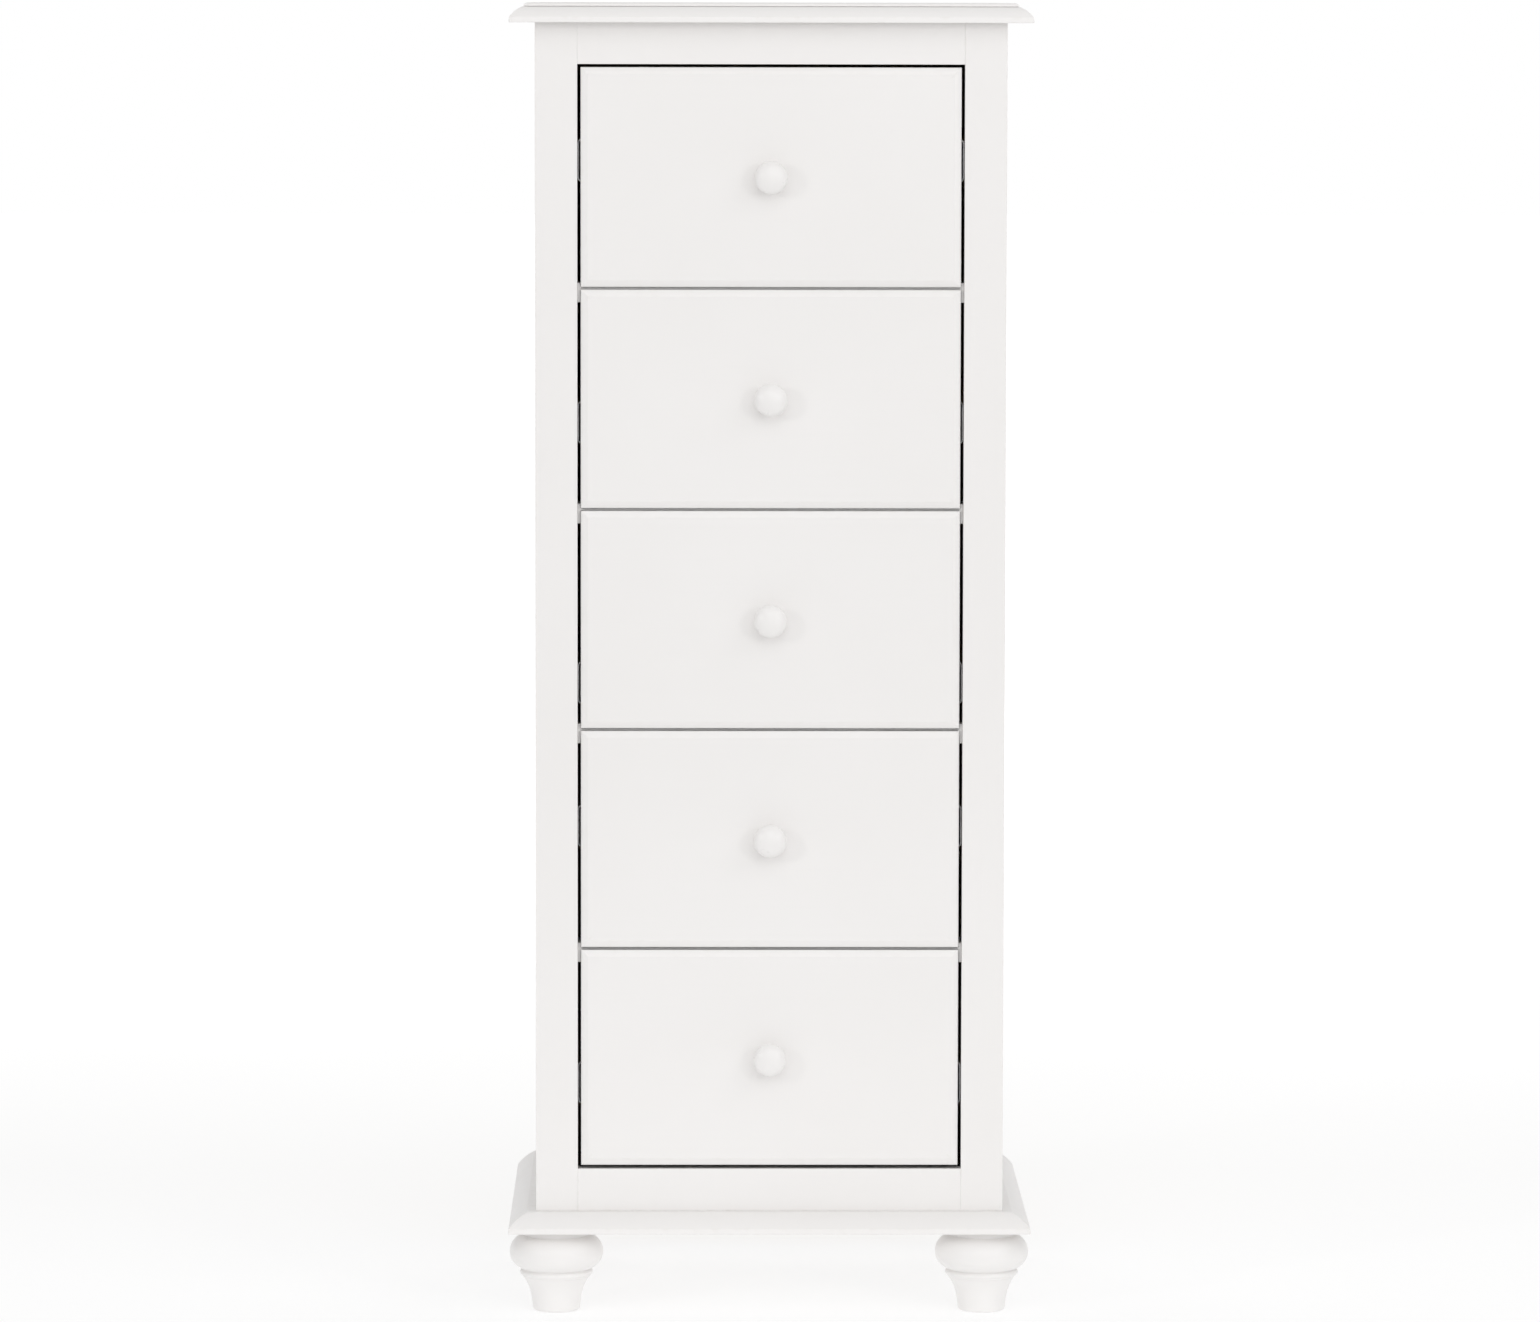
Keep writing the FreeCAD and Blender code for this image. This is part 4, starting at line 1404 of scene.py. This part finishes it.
@dataclass(frozen=True)
class Channel:
    """One rolled steel member of a ball-bearing runner.

    Attributes:
        web: How far its web is from the batten.
        lip: How far its lips reach.
        half: Half its height.
        steel: Thickness of the steel.
        bend: Radius of its bends.
        curl: How far the lips curl in.
        flat: Half the height of the web's plain middle.
    """

    web: float
    lip: float
    half: float
    steel: float = 1.2 * MM
    bend: float = 3.4 * MM
    curl: float = 1.0 * MM
    flat: float = 4 * MM

    def section(self) -> np.ndarray:
        """Closed cross-section: the line of web, bends and curled lips, set off each way by half the steel.

        Returns:
            Offset from the batten and height of each point, outside line first and inside line back.
        """
        reach = 1 if self.lip > self.web else -1
        mid = self.steel / 2
        top = self.half - mid
        web = self.web + reach * mid
        corner = arc((self.bend, top - self.bend), (self.bend, self.bend), 180, 90, 9)
        length = abs(self.lip - self.web) - mid
        tip_radius = self.curl * 1.6
        tip = arc((length - tip_radius, top - tip_radius), (tip_radius, tip_radius), 90, 18, 7)
        upper = np.concatenate([corner, tip])
        half_line = np.concatenate([[[0.0, self.flat]], upper])
        line = np.concatenate([half_line[::-1] * [1, -1], half_line])
        line = line * [reach, 1] + [web, 0]
        ahead = np.gradient(line, axis=0)
        ahead /= np.linalg.norm(ahead, axis=1)[:, None]
        out = np.stack([-ahead[:, 1], ahead[:, 0]], axis=1) * mid
        return np.concatenate([line + out, (line - out)[::-1]])

    def add(self, shell: Shell, side: int, inner: float, middle: float, y_span: Pair) -> None:
        """Carries the section along the runner.

        Args:
            shell: Skin to add to.
            side: -1 on the left and 1 on the right.
            inner: Distance of the batten's face from the middle plane.
            middle: Height of the runner.
            y_span: Where it starts and ends.
        """
        section = self.section()
        x = side * (inner - section[:, 0])
        z = section[:, 1] + middle
        area = np.sum(x * np.roll(z, -1) - np.roll(x, -1) * z)
        flat = np.stack([z, x], axis=1)
        if area > 0:
            flat = flat[::-1]
        ends = np.array(y_span)
        points = laid(Axis.DEEP, np.broadcast_to(flat, (2,) + flat.shape), ends[:, None])
        index = shell.add_grid(points)
        half = len(flat) // 2
        pairs = np.arange(half - 1)
        back = len(flat) - 1 - pairs
        for row, forward in ((index[0], False), (index[1], True)):
            quads = np.stack([row[pairs], row[pairs + 1], row[back - 1], row[back]], axis=1)
            shell.faces += (quads if forward else quads[:, ::-1]).tolist()


@dataclass(frozen=True)
class Runners:
    """All the runners of the chest.

    Attributes:
        cabinet: Member on the carcass.
        middle: Member between the other two.
        drawer: Member on the drawer.
        screw_places: Where the screws are, as shares of the length.
        screw: Screw in a member.
        screw_seat: Where the screws' rims are, above a web's surface.
        ball: Radius of a ball.
        balls: Number of balls in a row.
        row: Where a row of balls starts and ends, from the member's front end.
        row_offset: Distance of the rows from the batten.
    """

    cabinet: Channel = Channel(0.0, 9.0 * MM, 22.5 * MM)
    middle: Channel = Channel(2.8 * MM, 10.6 * MM, 18.4 * MM)
    drawer: Channel = Channel(12.7 * MM, 5.2 * MM, 14.3 * MM, bend=2.6 * MM)
    screw_places: tuple[float, ...] = (0.1, 0.5, 0.9)
    screw: DrivenScrew = DrivenScrew(3.2 * MM, 0.25 * MM, 0.6 * MM, 1.6 * MM, 0.4 * MM)
    screw_seat: float = 0.25 * MM
    ball: float = 1.35 * MM
    balls: int = 14
    row: Pair = (20 * MM, 150 * MM)
    row_offset: float = 6.4 * MM

    def build(self, shop: Workshop) -> None:
        """Builds the three members of every pair.

        Args:
            shop: Where the pieces are finished.
        """
        inner = box_of("right_stile")[0][0]
        cabinet = Shell()
        for drawer in DRAWER_NAMES:
            low, high = box_of(drawer + "_drawer_members")
            span = (low[1], high[1])
            level = (low[2] + high[2]) / 2
            moving, riding = Shell(), Shell()
            for side in (-1, 1):
                self.cabinet.add(cabinet, side, inner, level, span)
                self.middle.add(riding, side, inner, level, span)
                self.drawer.add(moving, side, inner, level, span)
                self.screws(cabinet, side * (inner - self.cabinet.steel), level, span, -side)
                self.screws(moving, side * (inner - self.drawer.web + self.drawer.steel), level, span, side)
                self.cage(riding, side, inner, level, span)
            shop.place(riding, drawer + "_middle_channels", drawer + "_middle", "steel_runner",
                       drawer + "_middle_members", crease=ROLLED_CREASE)
            shop.place(moving, drawer + "_drawer_channels", drawer, "steel_runner",
                       drawer + "_drawer_members", crease=ROLLED_CREASE)
        shop.place(cabinet, "cabinet_channels", "carcass", "steel_runner",
                   "runner_cabinet_members", crease=ROLLED_CREASE)

    def screws(self, shell: Shell, x: float, level: float, span: Pair, sign: int) -> None:
        """Adds a row of low screw heads on a web.

        Args:
            shell: Skin to add to.
            x: Where the web's surface is.
            level: Height of the row.
            span: Where the member starts and ends.
            sign: Direction that the heads face on X.
        """
        for share in self.screw_places:
            y = span[0] + share * (span[1] - span[0])
            self.screw.head(shell, (x, y, level), Axis.ACROSS, sign, self.screw_seat)

    def cage(self, shell: Shell, side: int, inner: float, level: float, span: Pair) -> None:
        """Adds the balls that the middle member rides on, in a row above and a row below it.

        Args:
            shell: Skin to add to.
            side: -1 on the left and 1 on the right.
            inner: Distance of the batten's face from the middle plane.
            level: Height of the runner.
            span: Where the member starts and ends.
        """
        profile = arc((0.0, 0.0), (self.ball, self.ball), -90, 90, 7)
        for height in (-1, 1):
            for y in np.linspace(span[0] + self.row[0], span[0] + self.row[1], self.balls):
                place = (side * (inner - self.row_offset), y, level + height * (self.middle.half + self.ball))
                turned(shell, profile, place, Axis.UPRIGHT, steps=10)


# ---------------------------------------------------------------- studio


@dataclass(frozen=True)
class Softbox:
    """Round studio light.

    Attributes:
        name: Name of the light.
        azimuth: Angle to the right of the front, in degrees.
        elevation: Angle above the middle of the chest, in degrees.
        distance: Distance from the middle of the chest.
        width: Diameter.
        power: Power in watts.
    """

    name: str
    azimuth: float
    elevation: float
    distance: float
    width: float
    power: float

    def build(self, target: Vector) -> None:
        """Makes the light and turns it to the chest.

        Args:
            target: Middle of the chest.
        """
        lamp = bpy.data.lights.new(self.name, "AREA")
        lamp.shape = "DISK"
        lamp.size = self.width
        lamp.energy = self.power
        light = bpy.data.objects.new(self.name, lamp)
        turn, rise = math.radians(self.azimuth), math.radians(self.elevation)
        away = Vector((math.sin(turn) * math.cos(rise), -math.cos(turn) * math.cos(rise), math.sin(rise)))
        light.location = target + away * self.distance
        light.rotation_mode = "QUATERNION"
        light.rotation_quaternion = away.to_track_quat("Z", "Y")
        bpy.context.scene.collection.objects.link(light)


@dataclass(frozen=True)
class Studio:
    """Camera, floor, surrounding light and softboxes.

    Attributes:
        camera_place: Where the camera stands.
        yaw: Camera's turn to the right, in degrees.
        pitch: How far it looks down, in degrees.
        roll: Its roll, in degrees.
        lens: Focal length in millimetres.
        sensor: Width of the sensor in millimetres.
        brightness: Height on a unit sphere and brightness of the surroundings there.
        flank: How bright the surroundings stay at the two sides, as a share.
        flank_start: How far to the side of the unit sphere the dimming starts and is full.
        horizon: Height on the unit sphere over which the dimming of the sides sets in.
        floor_reach: How far the floor goes each way.
        floor_colour: Colour of the floor.
        floor_glow: Strength of the floor's own glow in front of the chest, under it and far behind it.
        glow_rise: Where on Y the glow rises in front of the chest.
        glow_gain: Where on Y it rises again behind the chest.
        softboxes: The studio lights.
    """

    camera_place: Triple = (-0.0865, -8.0, 1.411)
    yaw: float = 0.633
    pitch: float = 5.164
    roll: float = 0.10
    lens: float = 171.4
    sensor: float = 36.0
    brightness: tuple[Pair, ...] = (
        (0.0, 1.0), (0.04, 1.0), (0.15, 0.60), (0.5, 0.60), (0.8, 0.72), (1.0, 0.75),
    )
    flank: float = 0.60
    flank_start: Pair = (0.6, 0.95)
    horizon: float = 0.06
    floor_reach: float = 40.0
    floor_colour: Colour = (0.42, 0.42, 0.42, 1.0)
    floor_glow: Triple = (0.31, 0.62, 0.85)
    glow_rise: Pair = (-1.6, -0.28)
    glow_gain: Pair = (0.8, 6.0)
    softboxes: tuple[Softbox, ...] = (
        Softbox("key_left", -44.0, 14.0, 7.0, 0.7, 36.0),
        Softbox("key_right", 35.0, 11.0, 7.0, 1.2, 33.0),
        Softbox("fill_right", 52.0, 30.0, 7.0, 3.6, 38.0),
        Softbox("fill_front", 2.0, 28.0, 7.0, 5.0, 80.0),
        Softbox("rear_left", -150.0, 30.0, 7.0, 3.0, 26.0),
        Softbox("rear_right", 150.0, 30.0, 7.0, 3.0, 30.0),
    )

    def build(self) -> None:
        """Builds the whole studio."""
        self.camera()
        self.floor()
        self.surroundings()
        target = (CAD_BOX[0] + CAD_BOX[1]) / 2
        for softbox in self.softboxes:
            softbox.build(target)
        bpy.context.scene.view_settings.view_transform = "Standard"
        LOG.info("studio: camera, floor, surroundings and %d softboxes", len(self.softboxes))

    def camera(self) -> None:
        """Makes the camera: forward from yaw and pitch, then rolled about it."""
        yaw, pitch, roll = (math.radians(angle) for angle in (self.yaw, self.pitch, self.roll))
        ahead = Vector((math.sin(yaw) * math.cos(pitch), math.cos(yaw) * math.cos(pitch), -math.sin(pitch)))
        level = Vector((math.cos(yaw), -math.sin(yaw), 0.0))
        above = level.cross(ahead)
        right = level * math.cos(roll) + above * math.sin(roll)
        up = above * math.cos(roll) - level * math.sin(roll)
        data = bpy.data.cameras.new("camera")
        data.lens = self.lens
        data.sensor_width = self.sensor
        data.clip_end = 200.0
        camera = bpy.data.objects.new("camera", data)
        turn = Matrix((right, up, -ahead)).transposed().to_4x4()
        camera.matrix_world = Matrix.Translation(self.camera_place) @ turn
        bpy.context.scene.collection.objects.link(camera)
        bpy.context.scene.camera = camera

    def floor(self) -> None:
        """Makes the floor, which glows a little as a light table does."""
        mesh = bpy.data.meshes.new("floor")
        signs = ((-1, -1), (1, -1), (1, 1), (-1, 1))
        corners = [(x * self.floor_reach, y * self.floor_reach, 0.0) for x, y in signs]
        mesh.from_pydata(corners, [], [(0, 1, 2, 3)])
        floor = bpy.data.objects.new("floor", mesh)
        bpy.context.scene.collection.objects.link(floor)
        graph = Graph("floor_paper")
        grain = graph.noise(graph.coordinates(), 40.0, 2.0)
        graph.shader.inputs["Emission Color"].default_value = (1.0, 1.0, 1.0, 1.0)
        depth = graph.parts(graph.coordinates())["Y"]
        before, under, behind = self.floor_glow
        near = graph.spread(depth, *self.glow_rise, before, under)
        far = graph.spread(depth, *self.glow_gain, 0.0, behind - under)
        graph.put(graph.reckon("ADD", near, far), graph.shader.inputs["Emission Strength"])
        graph.shader.inputs["Specular IOR Level"].default_value = 0.0
        sheen = graph.spread(grain, 0.3, 0.7, 0.8, 0.9)
        mesh.materials.append(graph.finish(self.floor_colour, sheen, graph.relief(grain, 0.03 * MM)))

    def surroundings(self) -> None:
        """Makes the light all round: bright at eye level, dimmer overhead and dimmest at the two sides."""
        world = bpy.data.worlds.new("studio")
        world.use_nodes = True
        nodes = Nodes(world.node_tree)
        background = world.node_tree.nodes["Background"]
        across, _, height = nodes.parts(nodes.place.outputs["Generated"])
        fall = world.node_tree.nodes.new("ShaderNodeValToRGB")
        nodes.put(height, fall.inputs["Fac"])
        brightest = max(level for _, level in self.brightness)
        while len(fall.color_ramp.elements) < len(self.brightness):
            fall.color_ramp.elements.new(1.0)
        for element, (place, level) in zip(fall.color_ramp.elements, self.brightness):
            element.position = place
            element.color = (level / brightest,) * 3 + (1.0,)
        aside = nodes.reckon("ABSOLUTE", across, 0.0)
        dimming = nodes.spread(aside, *self.flank_start, brightest, brightest * self.flank)
        rising = nodes.spread(height, 0.0, self.horizon, brightest, 0.0)
        nodes.put(nodes.reckon("MAXIMUM", dimming, rising), background.inputs["Strength"])
        nodes.put(fall.outputs["Color"], background.inputs["Color"])
        bpy.context.scene.world = world


def main() -> None:
    """Builds the studio and the chest in order."""
    logging.basicConfig(level=logging.INFO, format="%(message)s")
    shop = Workshop()
    Studio().build()
    MouldedBoard("top_panel").build(shop)
    MouldedBoard("base_board", ovolo_width=19 * MM, bead=None).build(shop)
    FaceFrame().build(shop)
    Carcass().build(shop)
    for place in ("front_left", "front_right", "rear_left", "rear_right"):
        TurnedFoot(place).build(shop)
    for name in DRAWER_NAMES:
        Drawer(name).build(shop)
    Runners().build(shop)


if __name__ == "__main__":
    main()
